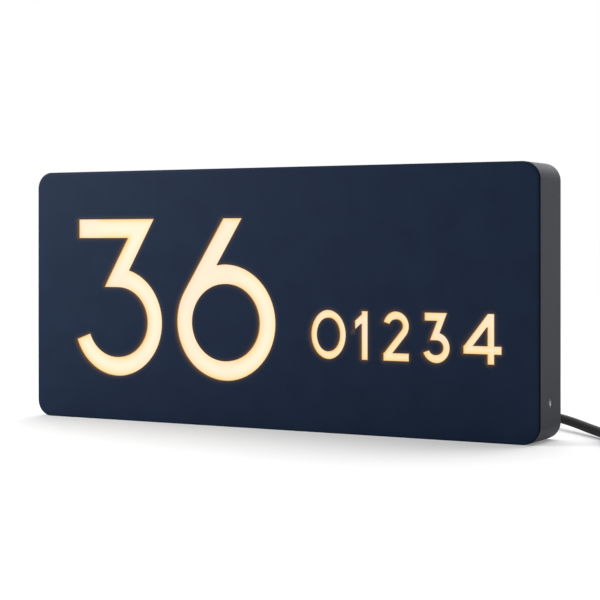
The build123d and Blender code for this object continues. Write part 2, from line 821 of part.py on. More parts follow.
entry_end = plate_front - locknut_height - 2 * gland_thread_overhang
block_left = terminal_middle - terminal_length / 2
block_right = terminal_middle + terminal_length / 2
supply_leads = []
for side in (-0.5, 0.5):
    start_z = gland_height + side * 1.3 * core_diameter
    end_z = terminal_height + side * terminal_pitch
    points = [
        (gland_across, entry_end, start_z),
        (gland_across, entry_end - 3 * core_bend, start_z),
        (block_left - lead_slope_start, entry_end - 3 * core_bend, start_z),
        (block_left - lead_slope_end, lead_level, end_z),
        (block_left + lead_insert, lead_level, end_z),
    ]
    supply_leads.append(wire(points, core_diameter, core_bend))
save("supply_leads", *supply_leads)

driver_leads = []
for number, side in ((0, 0.5), (1, -0.5)):
    start_z = terminal_height + side * terminal_pitch
    turn_x = lead_turn_across + number * pair_gap
    turn_z = lead_turn_height + (1 - number) * pair_gap
    rise_x = lead_rise_across + number * pair_gap
    end_z = driver_height + case_leads[number]
    points = [
        (block_right - lead_insert, lead_level, start_z),
        (turn_x, lead_level, start_z),
        (turn_x, lead_level, turn_z),
        (rise_x, lead_level, turn_z),
        (rise_x, lead_level, end_z),
        (case_left + driver_length - driver_wall - lead_insert, lead_level, end_z),
    ]
    driver_leads.append(wire(points, core_diameter, core_bend))
save("driver_leads", *driver_leads)

lead_clips = []
clip_middle = lead_rise_across + pair_gap / 2
clip_front = lead_level - core_diameter / 2 - lead_clip_wall
for z in (lead_turn_height + lead_clip_rise, driver_height - lead_clip_drop):
    saddle = Pos(0, (clip_front + plate_front) / 2, 0) * Box(
        lead_clip_width, plate_front - clip_front, lead_clip_length
    )
    for side in (-0.5, 0.5):
        hole = Cylinder(core_diameter / 2 + cord_clearance, lead_clip_length + 2 * overrun)
        saddle -= Pos(side * pair_gap, lead_level, 0) * hole
    lead_clips.append(Pos(clip_middle, 0, z) * saddle)
save("lead_clips", *lead_clips)

top_bar_height = bars[large_bar_count - 1][2]
output_leads = []
for number in (0, 1):
    start_z = driver_height + case_leads[number]
    end_z = top_bar_height + (number - 0.5) * wire_spacing
    points = [
        (case_left + driver_wall + lead_insert, lead_level, start_z),
        (case_left - output_reach, lead_level, start_z),
        (large_bar_right + output_reach, wire_level, end_z),
        (large_bar_right - link_end, wire_level, end_z),
    ]
    output_leads.append(wire(points, wire_diameter, core_bend))
save("output_leads", *output_leads)

links = []
for number in range(large_bar_count - 1):
    for column in (large_bar_right - link_inset, large_bar_right - link_inset - wire_spacing):
        low, high = bars[number][2] + link_lap, bars[number + 1][2] - link_lap
        links.append(wire([(column, wire_level, low), (column, wire_level, high)], wire_diameter, 0))
small_bars = bars[large_bar_count:]
for number in range(small_bar_count - 1):
    for column in (small_bar_left + link_inset, small_bar_left + link_inset + wire_spacing):
        low, high = small_bars[number][2] + link_lap, small_bars[number + 1][2] - link_lap
        links.append(wire([(column, wire_level, low), (column, wire_level, high)], wire_diameter, 0))
for step in (-0.5, 0.5):
    start = (large_bar_right - link_end, wire_level, bars[1][2] + step * wire_spacing)
    end = (small_bar_left + link_end, wire_level, small_bars[-1][2] + step * wire_spacing)
    links.append(wire([start, end], wire_diameter, 0))
save("link_leads", *links)

# Cable gland in the back plate

cord_radius = cord_diameter / 2
bore_radius = cord_radius + cord_clearance
thread_radius = gland_thread_diameter / 2
washer_back = plate_back + gland_washer_thickness
flange_end = washer_back + gland_flange_height
cap_end = flange_end + gland_cap_height
neck_radius = gland_cap_diameter / 2 - gland_neck_inset
neck_end = cap_end - gland_cap_wall - close_fit
seal_radius = neck_radius - gland_neck_wall
seal_start = flange_end - gland_washer_thickness

hexagon = RegularPolygon(gland_flats / 2, 6, major_radius=False)
gland_place = Pos(gland_across, 0, gland_height)
thread_end = plate_front - locknut_height - gland_thread_overhang
gland_body = turned(
    [(bore_radius, thread_end), (thread_radius, thread_end), (thread_radius, flange_end),
     (neck_radius, flange_end), (neck_radius, neck_end), (seal_radius, neck_end),
     (seal_radius, seal_start), (bore_radius, seal_start)],
    gland_across, gland_height,
)
gland_hexagon = hexagon - Circle(thread_radius - least_corner)
gland_body += gland_place * slab(gland_hexagon, washer_back, gland_flange_height)
save("gland_body", gland_body)
washer_ring = Circle(gland_washer_diameter / 2) - Circle(thread_radius + cord_clearance)
save("gland_washer", gland_place * slab(washer_ring, plate_back, gland_washer_thickness))
nut_ring = hexagon - Circle(thread_radius + snug_fit)
save("gland_locknut", gland_place * slab(nut_ring, plate_front - locknut_height, locknut_height))
seal_ring = Circle(seal_radius - snug_fit) - Circle(cord_radius + snug_fit)
save("gland_seal", gland_place * slab(seal_ring, seal_start, neck_end - seal_start))

cap_radius = gland_cap_diameter / 2
cap_start = flange_end + close_fit
cap_inner = neck_radius + gland_cap_play
cap = turned(
    [(cap_inner, cap_start), (cap_radius, cap_start),
     (cap_radius, cap_end - gland_cap_bevel), (cap_radius - gland_cap_bevel, cap_end), (bore_radius, cap_end),
     (bore_radius, cap_end - gland_cap_wall), (cap_inner, cap_end - gland_cap_wall)],
    gland_across, gland_height,
)
for number in range(gland_cap_flutes):
    angle = 2 * pi * number / gland_cap_flutes
    groove = at(cap_radius * cos(angle), cap_radius * sin(angle), Circle(gland_flute_radius))
    cap -= gland_place * slab(groove, cap_start, gland_cap_height - gland_cap_bevel - gland_flute_radius)
save("gland_cap", cap)


def ribbed_taper(root, tip, length, ribs, bore, start):
    """Half section of a tapered strain relief, (radius, along) pairs. Grooves part its ribs."""
    count = 2 * ribs + 1
    step = length / count
    points = [(bore, start), (root / 2, start)]
    for number in range(count):
        radius = (root + (tip - root) * (number + 1) / count) / 2
        depth = 0 if number % 2 == 0 else 0.35 * (radius - cord_radius)
        points.append((radius - depth, start + number * step + boot_groove))
        points.append((radius - depth, start + (number + 1) * step))
    return points + [(bore, start + length)]


exit_level = cap_end + boot_length
boot_profile = ribbed_taper(
    boot_root_diameter, boot_tip_diameter, boot_length, boot_ribs, bore_radius, cap_end
)
save("cord_boot", turned(boot_profile, gland_across, gland_height))
entry = gland_place * slab(Circle(cord_radius), entry_end, exit_level - entry_end)
save("cord_entry", entry)

# Free cord from the boot to the coil


def cord_tube(name, points):
    """The cord along straight runs, each corner as round as its two runs allow."""
    spots = [Vector(*point) for point in points]
    radii = []
    for before, corner, after in zip(spots, spots[1:], spots[2:]):
        turn = radians((corner - before).get_angle(after - corner))
        run = min((corner - before).length, (after - corner).length)
        radii.append(0.45 * run / tan(turn / 2))
    path = FilletPolyline(*points, radius=radii)
    tube = sweep(Plane(origin=points[0], z_dir=path % 0) * Circle(cord_radius), path)
    section = pi * cord_radius**2
    print(name, "radii", [round(radius, 1) for radius in radii])
    print(name, "length", round(path.length, 1), "volume over section x length",
          round(tube.volume / section / path.length, 4))
    return tube


exit_point = (gland_across, exit_level, gland_height)
lead_points = [exit_point] + lead_route
save("cord_lead", cord_tube("cord_lead", lead_points))

# Coil: spirals in on the lower layer, climbs in the half turn where it reverses, and spirals out on top

lead_end = Vector(*lead_route[-1])
heading = (lead_end - Vector(*lead_route[-2])).normalized()
inward = Vector(-heading.Y, heading.X, 0)
outer_radius = coil_inner_radius + coil_pitch * coil_half_turns / 2
layer_rise = Vector(0, 0, coil_pitch)

spot = lead_end + heading * cord_diameter
turns = [Line(lead_end, spot)]
far_side = []
radii = [outer_radius - number * coil_pitch / 2 for number in range(coil_half_turns)]
radii += [coil_inner_radius]
radii += [coil_inner_radius + (number + 1) * coil_pitch / 2 for number in range(coil_half_turns + 1)]
for number, radius in enumerate(radii):
    across = inward if number % 2 == 0 else -inward
    ahead = heading if number % 2 == 0 else -heading
    end = spot + across * 2 * radius
    if number == coil_half_turns:
        end += layer_rise
        reach = (end - spot).length / 2
        summit = (spot + end) / 2 + ahead * reach
        first = TangentArc(spot, summit, tangent=ahead)
        turns += [first, TangentArc(summit, end, tangent=first % 1)]
    else:
        turns.append(ThreePointArc(spot, spot + across * radius + ahead * radius, end))
    if number % 2 == 0:
        far_side.append(end)
    spot = end
coil_end = spot + heading * cord_diameter
turns.append(Line(spot, coil_end))
coil_path = Wire(turns)
coil = sweep(Plane(origin=lead_end, z_dir=heading) * Circle(cord_radius), coil_path)

samples = 700
marks = [coil_path.position_at(number / samples) for number in range(samples + 1)]
apart = int(samples * 2.5 * cord_diameter / coil_path.length) + 1
least = min(
    (marks[one] - marks[other]).length
    for one in range(0, samples, 2)
    for other in range(one + apart, samples)
)
print("coil length", round(coil_path.length, 1), "least gap to itself", round(least - cord_diameter, 2),
      "volume over section x length", round(coil.volume / (pi * cord_radius**2) / coil_path.length, 4))
save("cord_coil", coil)

# Tie round all the turns, on the side away from the cord's ends

reach_inward = [(end - lead_end).dot(inward) for end in far_side]
tie_low = min(reach_inward) - cord_radius - tie_clearance
tie_high = max(reach_inward) + cord_radius + tie_clearance
tie_bottom = lead_end.Z - cord_radius - tie_lift + tie_thickness
tie_top = lead_end.Z + coil_pitch + cord_radius + close_fit
tie_hole = Rectangle(tie_high - tie_low, tie_top - tie_bottom)
tie_rim = RectangleRounded(
    tie_high - tie_low + 2 * tie_thickness, tie_top - tie_bottom + 2 * tie_thickness, 2 * tie_thickness
)
tie_centre = lead_end + heading * cord_diameter + inward * (tie_low + tie_high) / 2
tie_centre = Vector(tie_centre.X, tie_centre.Y, (tie_bottom + tie_top) / 2)
tie_plane = Plane(origin=tie_centre - heading * tie_width / 2, x_dir=inward, z_dir=heading)
save("cord_tie", extrude(tie_plane * (tie_rim - tie_hole), tie_width))

# Tail: down from the top layer, round the outside of the coil, to the plug that lies beside it

tail_points = [coil_end]
for run, turn, rise in tail_runs:
    direction = heading.rotate(Axis.Z, turn)
    tail_points.append(tail_points[-1] + direction * run + Vector(0, 0, rise))
save("cord_tail", cord_tube("cord_tail", [tuple(point) for point in tail_points]))

# Plug, drawn with the cord's end at the origin and the pins along +X

plug_heading = (tail_points[-1] - tail_points[-2]).normalized()
plug_turn = degrees(atan2(plug_heading.Y, plug_heading.X))
plug_place = Pos(*tuple(tail_points[-1])) * Rot(0, 0, plug_turn)
plug_boot_profile = ribbed_taper(
    plug_boot_tip_diameter, plug_boot_root_diameter, plug_boot_length, boot_ribs, 0, 0
)
plug_boot = plug_place * Rot(0, 0, -90) * revolve(polygon(*plug_boot_profile), Axis.Y)
save("plug_boot", plug_boot)

neck_face = Plane.YZ.offset(plug_boot_length) * RectangleRounded(
    plug_neck_width, plug_neck_thickness, 0.45 * plug_neck_thickness
)
shoulder_face = Plane.YZ.offset(plug_boot_length + plug_shoulder) * RectangleRounded(
    plug_width, plug_thickness, 0.45 * plug_thickness
)
plug_body = loft([neck_face, shoulder_face], ruled=True)
plug_body += extrude(shoulder_face, plug_length - plug_shoulder)
save("plug_body", plug_place * plug_body)

pin_start = plug_boot_length + plug_length
pins = []
sleeves = []
for side in (-0.5, 0.5):
    pin_place = plug_place * Pos(pin_start, side * pin_spacing, 0) * Rot(0, 90, 0)
    stem = Pos(0, 0, pin_sleeve_length / 2) * Cylinder(pin_core_diameter / 2, pin_sleeve_length)
    tip_length = pin_length - pin_sleeve_length
    tip = Pos(0, 0, pin_sleeve_length + tip_length / 2) * Cylinder(pin_diameter / 2, tip_length)
    tip = fillet(tip.edges().group_by(Axis.Z)[-1], 0.4 * pin_diameter)
    pins.append(pin_place * (stem + tip))
    ring = Pos(0, 0, pin_sleeve_length / 2) * Cylinder(pin_sleeve_diameter / 2, pin_sleeve_length)
    ring -= Cylinder(pin_core_diameter / 2 + snug_fit, 4 * pin_sleeve_length)
    sleeves.append(pin_place * ring)
save("plug_pins", *pins)
save("pin_sleeves", *sleeves)

print("exit point", exit_point)
print("plug place", tail_points[-1], "turn", round(plug_turn, 2))
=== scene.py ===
from math import cos, exp, pi, radians, sin

import bmesh
import bpy
from mathutils import Matrix, Vector
from mathutils.bvhtree import BVHTree
from mathutils.geometry import delaunay_2d_cdt
from mathutils.kdtree import KDTree


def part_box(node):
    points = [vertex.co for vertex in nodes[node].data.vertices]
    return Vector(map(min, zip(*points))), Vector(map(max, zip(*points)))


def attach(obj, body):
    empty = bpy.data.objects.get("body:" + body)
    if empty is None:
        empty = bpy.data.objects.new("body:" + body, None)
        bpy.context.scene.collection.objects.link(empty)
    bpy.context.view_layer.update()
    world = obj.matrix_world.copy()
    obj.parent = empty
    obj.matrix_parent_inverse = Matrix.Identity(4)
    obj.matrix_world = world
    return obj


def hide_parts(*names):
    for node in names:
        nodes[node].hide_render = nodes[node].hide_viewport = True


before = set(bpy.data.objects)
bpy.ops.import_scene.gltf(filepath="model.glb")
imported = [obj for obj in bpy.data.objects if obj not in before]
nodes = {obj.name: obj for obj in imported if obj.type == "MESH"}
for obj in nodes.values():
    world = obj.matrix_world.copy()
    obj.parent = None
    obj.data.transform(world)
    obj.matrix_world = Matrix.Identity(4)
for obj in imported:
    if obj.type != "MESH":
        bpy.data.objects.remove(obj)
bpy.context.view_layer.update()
scene = bpy.context.scene

# Camera
# A long lens, level, at the height of the upper third of the sign. It stands to the right of the sign and
# looks back at it at 29 degrees. The frame is shifted down, so the uprights stay upright.

camera_data = bpy.data.cameras.new("studio_camera")
camera_data.sensor_width = 36.0
camera_data.lens = 98.72
camera_data.shift_y = -0.0959
camera_data.clip_start = 0.05
camera = bpy.data.objects.new("studio_camera", camera_data)
camera.location = (0.49896, -0.88966, 0.11408)
camera.rotation_euler = (radians(90), 0, radians(28.6565))
scene.collection.objects.link(camera)
scene.camera = camera

# Cord
# Round two-core lead with a black jacket, 5.7 mm thick. It comes down from the gland's boot, passes behind
# the right end of the sign, and is put away in a flat two-layer coil. The tail goes round it to the plug.

cord_diameter = 0.0057
cord_exit = (0.066, 0.0515, 0.018)
lead_route = [
    (0.0660, 0.0660, 0.0180),
    (0.0749, 0.0861, 0.0155),
    (0.0932, 0.0984, 0.0125),
    (0.1152, 0.0992, 0.0098),
    (0.1377, 0.0858, 0.0071),
    (0.1634, 0.0650, 0.0061),
    (0.1912, 0.0366, 0.0034),
    (0.2126, 0.0136, 0.0035),
]
coil_pitch = 0.0063
coil_inner_radius = 0.023
coil_half_turns = 6
points_per_half_turn = 12
tail_runs = [
    (0.013, 0.0, 0.0),
    (0.018, 23.0, -0.0028),
    (0.018, 46.0, -0.0026),
    (0.018, 69.0, -0.0008),
    (0.018, 92.0, 0.00325),
    (0.014, 115.0, 0.0),
]

cord_points = [Vector(cord_exit)] + [Vector(point) for point in lead_route]
coil_start = cord_points[-1]
heading = (cord_points[-1] - cord_points[-2]).normalized()
inward = Vector((-heading.y, heading.x, 0))
spot = coil_start + heading * cord_diameter
cord_points.append(spot)
coil_radii = [coil_inner_radius + (coil_half_turns - n) * coil_pitch / 2 for n in range(coil_half_turns)]
coil_radii += [coil_inner_radius + n * coil_pitch / 2 for n in range(coil_half_turns + 2)]
coil_far_side = []
for number, radius in enumerate(coil_radii):
    side = 1 if number % 2 == 0 else -1
    climb = coil_pitch if number == coil_half_turns else 0.0
    centre = spot + inward * side * radius
    for step in range(1, points_per_half_turn + 1):
        angle = pi * step / points_per_half_turn
        out = -inward * side * radius * cos(angle) + heading * side * radius * sin(angle)
        cord_points.append(centre + out + Vector((0, 0, climb * (1 - cos(angle)) / 2)))
    spot = cord_points[-1]
    if side > 0:
        coil_far_side.append(spot)
cord_points.append(spot + heading * cord_diameter)
for run, turn, rise in tail_runs:
    direction = Matrix.Rotation(radians(turn), 3, "Z") @ heading
    cord_points.append(cord_points[-1] + direction * run + Vector((0, 0, rise)))

cord_data = bpy.data.curves.new("mains_cord", "CURVE")
cord_data.dimensions = "3D"
cord_data.bevel_depth = 1.0
cord_data.bevel_resolution = 5
cord_data.use_fill_caps = True
spline = cord_data.splines.new("NURBS")
spline.points.add(len(cord_points) - 1)
for control, place in zip(spline.points, cord_points):
    control.co = (*place, 1)
    control.radius = cord_diameter / 2
spline.order_u = 3
spline.use_endpoint_u = True
spline.resolution_u = 4
cord = bpy.data.objects.new("mains_cord", cord_data)
scene.collection.objects.link(cord)
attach(cord, "base")
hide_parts("cord_lead", "cord_coil", "cord_tail")

# Cord jacket, gaskets and seals
# Extruded black plastic and moulded black rubber, nearly matt, with a fine even grain from the die or mould.
# The grain, as height and tone, is one group that every painted, plated and moulded finish here uses.


def linear(red, green, blue):
    """Linear colour from a colour as it looks on screen, 0 to 255."""
    parts = []
    for value in (red, green, blue):
        share = value / 255
        parts.append(share / 12.92 if share <= 0.04045 else ((share + 0.055) / 1.055) ** 2.4)
    return (*parts, 1)


grain = bpy.data.node_groups.new("surface_grain", "ShaderNodeTree")
grain.interface.new_socket("Grain Scale", in_out="INPUT", socket_type="NodeSocketFloat")
grain.interface.new_socket("Cloud Scale", in_out="INPUT", socket_type="NodeSocketFloat")
grain.interface.new_socket("Stretch", in_out="INPUT", socket_type="NodeSocketVector")
grain.interface.new_socket("Height", in_out="OUTPUT", socket_type="NodeSocketFloat")
grain.interface.new_socket("Tone", in_out="OUTPUT", socket_type="NodeSocketFloat")
inlet = grain.nodes.new("NodeGroupInput")
outlet = grain.nodes.new("NodeGroupOutput")
place = grain.nodes.new("ShaderNodeTexCoord")
stretch = grain.nodes.new("ShaderNodeVectorMath")
stretch.operation = "MULTIPLY"
fine = grain.nodes.new("ShaderNodeTexNoise")
fine.inputs["Detail"].default_value = 3.0
fine.inputs["Roughness"].default_value = 0.55
cloud = grain.nodes.new("ShaderNodeTexNoise")
cloud.inputs["Detail"].default_value = 4.0
blend_tone = grain.nodes.new("ShaderNodeMix")
blend_tone.inputs["Factor"].default_value = 0.45
grain.links.new(place.outputs["Object"], stretch.inputs[0])
grain.links.new(inlet.outputs["Stretch"], stretch.inputs[1])
grain.links.new(stretch.outputs["Vector"], fine.inputs["Vector"])
grain.links.new(inlet.outputs["Grain Scale"], fine.inputs["Scale"])
grain.links.new(stretch.outputs["Vector"], cloud.inputs["Vector"])
grain.links.new(inlet.outputs["Cloud Scale"], cloud.inputs["Scale"])
grain.links.new(cloud.outputs["Fac"], blend_tone.inputs[2])
grain.links.new(fine.outputs["Fac"], blend_tone.inputs[3])
grain.links.new(fine.outputs["Fac"], outlet.inputs["Height"])
grain.links.new(blend_tone.outputs[0], outlet.inputs["Tone"])


def finish(name, dark, light, roughness, spread=0.06, metallic=0.0, grain_scale=1400.0, cloud_scale=40.0,
           bump=0.12, depth=0.00005, stretch=(1.0, 1.0, 1.0), specular=0.5):
    """A surface whose tone runs from dark to light and whose gloss and bump follow the same grain."""
    material = bpy.data.materials.new(name)
    material.use_nodes = True
    tree = material.node_tree
    shader = tree.nodes["Principled BSDF"]
    shader.inputs["Metallic"].default_value = metallic
    shader.inputs["Specular IOR Level"].default_value = specular
    source = tree.nodes.new("ShaderNodeGroup")
    source.name = "grain"
    source.node_tree = grain
    source.inputs["Grain Scale"].default_value = grain_scale
    source.inputs["Cloud Scale"].default_value = cloud_scale
    source.inputs["Stretch"].default_value = stretch
    tone = tree.nodes.new("ShaderNodeMix")
    tone.name = "tone"
    tone.data_type = "RGBA"
    tone.inputs[6].default_value = linear(*dark)
    tone.inputs[7].default_value = linear(*light)
    contrast = tree.nodes.new("ShaderNodeMapRange")
    gloss = tree.nodes.new("ShaderNodeMapRange")
    for stretched in (contrast, gloss):
        stretched.inputs["From Min"].default_value = 0.3
        stretched.inputs["From Max"].default_value = 0.7
    gloss.inputs["To Min"].default_value = roughness - spread
    gloss.inputs["To Max"].default_value = roughness + spread
    relief = tree.nodes.new("ShaderNodeBump")
    relief.name = "relief"
    relief.inputs["Strength"].default_value = bump
    relief.inputs["Distance"].default_value = depth
    tree.links.new(source.outputs["Tone"], contrast.inputs["Value"])
    tree.links.new(contrast.outputs["Result"], tone.inputs["Factor"])
    tree.links.new(tone.outputs[2], shader.inputs["Base Color"])
    tree.links.new(source.outputs["Tone"], gloss.inputs["Value"])
    tree.links.new(gloss.outputs["Result"], shader.inputs["Roughness"])
    tree.links.new(source.outputs["Height"], relief.inputs["Height"])
    tree.links.new(relief.outputs["Normal"], shader.inputs["Normal"])
    return material


def dress(material, *names):
    """Gives CAD nodes a finish in all their material slots."""
    for name in names:
        data = nodes[name].data
        if not data.materials:
            data.materials.append(material)
        for index in range(len(data.materials)):
            data.materials[index] = material


jacket = finish("cord_jacket", (20, 20, 21), (29, 29, 30), roughness=0.55, grain_scale=2600.0,
                cloud_scale=400.0, bump=0.3, specular=0.07)
cord_data.materials.append(jacket)
dress(jacket, "cord_entry")
rubber = finish("moulded_rubber", (12, 12, 13), (22, 22, 23), roughness=0.55, grain_scale=3200.0, bump=0.2,
                specular=0.2)
dress(rubber, "face_gasket", "rim_seal", "gland_washer", "gland_seal")

# Face plate
# Laser-cut 2 mm aluminium, rounded over at its front edge, in a fine matt navy powder coat, and the loose
# counters of the 6, 0 and 4. Light in the cut walls is painted into their colour, dark at the front and
# golden towards the diffuser, and a faint warm glow is painted onto the front beside them as emission. The
# plate's outer sides are painted near black, a painted shade for the shadowed seam to the frame.

navy = finish("navy_powder_coat", (19, 32, 53), (25, 40, 62), roughness=0.5, spread=0.05, grain_scale=1500.0,
              cloud_scale=55.0, bump=0.3, depth=0.00006, specular=0.07)
# The plate's outer sides: near black with no gloss, a painted shade for the shadowed seam to the frame.
plate_edge_painted_shade = finish("plate_edge_painted_shade", (3, 7, 13), (6, 11, 19), roughness=0.8, grain_scale=1500.0, bump=0.1,
                    specular=0.0)
# The cut walls: dark brown to gold, painted light from the diffuser behind them.
cut_wall_painted_glow = finish("cut_wall_painted_glow", (58, 44, 32), (186, 148, 98), roughness=0.6, grain_scale=900.0, bump=0.05,
                  specular=0.1)
plate_low, plate_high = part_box("face_plate")
plate_middle = (plate_low.z + plate_high.z) / 2
corner_radius = 0.0105
weld_distance = 1e-6
same_place = 1e-5
flat_angle = radians(0.5)
sharp_angle = radians(38)
arc_cuts = 3

# The cut walls' colour runs from dark at the plate's front to golden at its back: painted light from the
# diffuser.
tree = cut_wall_painted_glow.node_tree
place = tree.nodes.new("ShaderNodeTexCoord")
parted = tree.nodes.new("ShaderNodeSeparateXYZ")
inset = tree.nodes.new("ShaderNodeMapRange")
inset.inputs["From Min"].default_value = plate_low.y
inset.inputs["From Max"].default_value = plate_high.y
tree.links.new(place.outputs["Object"], parted.inputs["Vector"])
tree.links.new(parted.outputs["Y"], inset.inputs["Value"])
tree.links.new(inset.outputs["Result"], tree.nodes["tone"].inputs["Factor"])

cut_edges = bmesh.new()
for name in ("face_plate", "large_digit_counter", "small_digit_counters"):
    cut_edges.from_mesh(nodes[name].data)
bmesh.ops.remove_doubles(cut_edges, verts=cut_edges.verts, dist=weld_distance)


def smoothed(name, mesh, *materials):
    """A mesh made from a bmesh, smooth but for its sharp corners, with its materials."""
    data = bpy.data.meshes.new(name)
    mesh.to_mesh(data)
    mesh.free()
    data.shade_smooth()
    data.set_sharp_from_angle(angle=sharp_angle)
    for material in materials:
        data.materials.append(material)
    return data


def fit(name, data, body, slot, *stands_for):
    """Puts a finished mesh on its body, in place of the CAD nodes that it stands for."""
    piece = bpy.data.objects.new(name, data)
    scene.collection.objects.link(piece)
    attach(piece, body)
    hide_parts(*stands_for)
    return piece


def flatten_walls(data):
    """Shades faces that lie square to an axis flat, so the rounded edges beside them don't tint them."""
    for face in data.polygons:
        face.use_smooth = max(abs(part) for part in face.normal) < 0.9999


def corner_reach(place):
    """How far a point lies out from the centre line of the box's rounded corners, along X and along Z."""
    return (abs(place.x) - plate_high.x + corner_radius,
            abs(place.z - plate_middle) - plate_high.z / 2 + corner_radius)


def rim_depth(place):
    """How far in from the box's rounded outline a point lies."""
    across, up = corner_reach(place)
    return corner_radius - (max(across, 0.0) ** 2 + max(up, 0.0) ** 2) ** 0.5 - min(max(across, up), 0.0)


def rounder_corners(mesh):
    """Splits the facets round the box's corners, and moves the new points out onto the true arcs."""
    arc_depth = mesh.verts.layers.float.new("arc_depth")
    for vertex in mesh.verts:
        vertex[arc_depth] = rim_depth(vertex.co)
    arcs = []
    for edge in mesh.edges:
        first, last = edge.verts
        in_corner = all(min(corner_reach(vertex.co)) > -weld_distance for vertex in edge.verts)
        same_level = abs(first.co.y - last.co.y) < weld_distance
        if in_corner and same_level and abs(first[arc_depth] - last[arc_depth]) < same_place:
            arcs.append(edge)
    split = bmesh.ops.subdivide_edges(mesh, edges=arcs, cuts=arc_cuts)
    for vertex in split["geom_inner"]:
        if not isinstance(vertex, bmesh.types.BMVert) or min(corner_reach(vertex.co)) < 0:
            continue
        across, up = corner_reach(vertex.co)
        grow = (corner_radius - vertex[arc_depth]) / (across**2 + up**2) ** 0.5 - 1
        vertex.co.x += across * grow * (1 if vertex.co.x > 0 else -1)
        vertex.co.z += up * grow * (1 if vertex.co.z > plate_middle else -1)
    mesh.verts.layers.float.remove(arc_depth)


face_back = plate_high.y
rim_clearance = 0.008
sample_step = 0.0006
least_turn = 0.5
wall_marks = []
for edge in cut_edges.edges:
    ends = [vertex.co for vertex in edge.verts]
    if any(abs(end.y - face_back) > same_place for end in ends) or len(edge.link_faces) != 2:
        continue
    if abs(edge.link_faces[0].normal.y - edge.link_faces[1].normal.y) < least_turn:
        continue
    middle = (ends[0] + ends[1]) / 2
    if plate_high.x - abs(middle.x) < rim_clearance:
        continue
    if plate_high.z / 2 - abs(middle.z - plate_middle) < rim_clearance:
        continue
    count = max(1, int((ends[1] - ends[0]).length / sample_step))
    wall_marks += [ends[0].lerp(ends[1], number / count) for number in range(count + 1)]
cut_edges.free()
nearest_wall = KDTree(len(wall_marks))
for index, mark in enumerate(wall_marks):
    nearest_wall.insert(mark, index)
nearest_wall.balance()

edge_reach = 0.0017
edge_drop = 0.0009
edge_rings = (0.0007, 0.00095, 0.00125, edge_reach)
# Rings of points for the painted glow round the cuts, and how fast that glow fades.
stray_rings = (0.0005, 0.0011, 0.002, 0.0034)
stray_fade = 0.001
stray_rest = exp(-stray_rings[-1] / stray_fade)
ring_step = 0.0012
ring_overlap = 0.92
probe_start = 0.01
probe_reach = 0.0101
front_facing_slope = 0.35


def wall_gap(point):
    """How far a flat point, (x, z), lies from the nearest cut wall."""
    return nearest_wall.find(Vector((point.x, face_back, point.y)))[2]


def rim_gap(point):
    """How far a flat point, (x, z), lies in from the plate's rounded outline."""
    return rim_depth(Vector((point.x, face_back, point.y)))


def ring_points(first, last):
    """Flat points in rings beside one border edge: close ones inside the rim, wider ones round a cut."""
    found = []
    across = (last - first).orthogonal().normalized()
    count = max(1, int((last - first).length / ring_step))
    for number in range(count):
        mark = first.lerp(last, (number + 0.5) / count)
        if wall_gap(mark) > ring_step:
            inset = rim_gap(mark)
            for ring in edge_rings:
                beside = [mark + across * side for side in (inset - ring, ring - inset)]
                found += [point for point in beside if rim_gap(point) > inset]
            continue
        for ring in stray_rings:
            beside = [mark + across * side for side in (-ring, ring)]
            found += [point for point in beside if wall_gap(point) > ring_overlap * ring]
    return found


def remeshed_front(mesh):
    """Replaces the flat front faces by a finer sheet of triangles that has the rings' points."""
    solid = BVHTree.FromBMesh(mesh)
    front = {
        face for face in mesh.faces
        if face.normal.y < -0.999 and face.calc_center_median().y < plate_low.y + same_place
    }
    border = [edge for edge in mesh.edges if sum(face in front for face in edge.link_faces) == 1]
    outline = list({vertex: None for edge in border for vertex in edge.verts})
    place_of = {vertex: index for index, vertex in enumerate(outline)}
    flat_points = [Vector((vertex.co.x, vertex.co.z)) for vertex in outline]
    flat_edges = [tuple(place_of[vertex] for vertex in edge.verts) for edge in border]
    for first, last in flat_edges:
        flat_points += ring_points(flat_points[first], flat_points[last])
    points, _, triangles, sources, _, _ = delaunay_2d_cdt(flat_points, flat_edges, [], 1, weld_distance)
    bmesh.ops.delete(mesh, geom=list(front), context="FACES_ONLY")
    corner_of = {}
    for triangle in triangles:
        middle = sum((points[index] for index in triangle), Vector((0, 0))) / 3
        probe = Vector((middle.x, plate_low.y - probe_start, middle.y))
        if solid.ray_cast(probe, Vector((0, 1, 0)), probe_reach)[0] is None:
            continue
        for index in triangle:
            if index in corner_of:
                continue
            known = [source for source in sources[index] if source < len(outline)]
            place = (points[index].x, plate_low.y, points[index].y)
            corner_of[index] = outline[known[0]] if known else mesh.verts.new(place)
        mesh.faces.new([corner_of[index] for index in triangle])


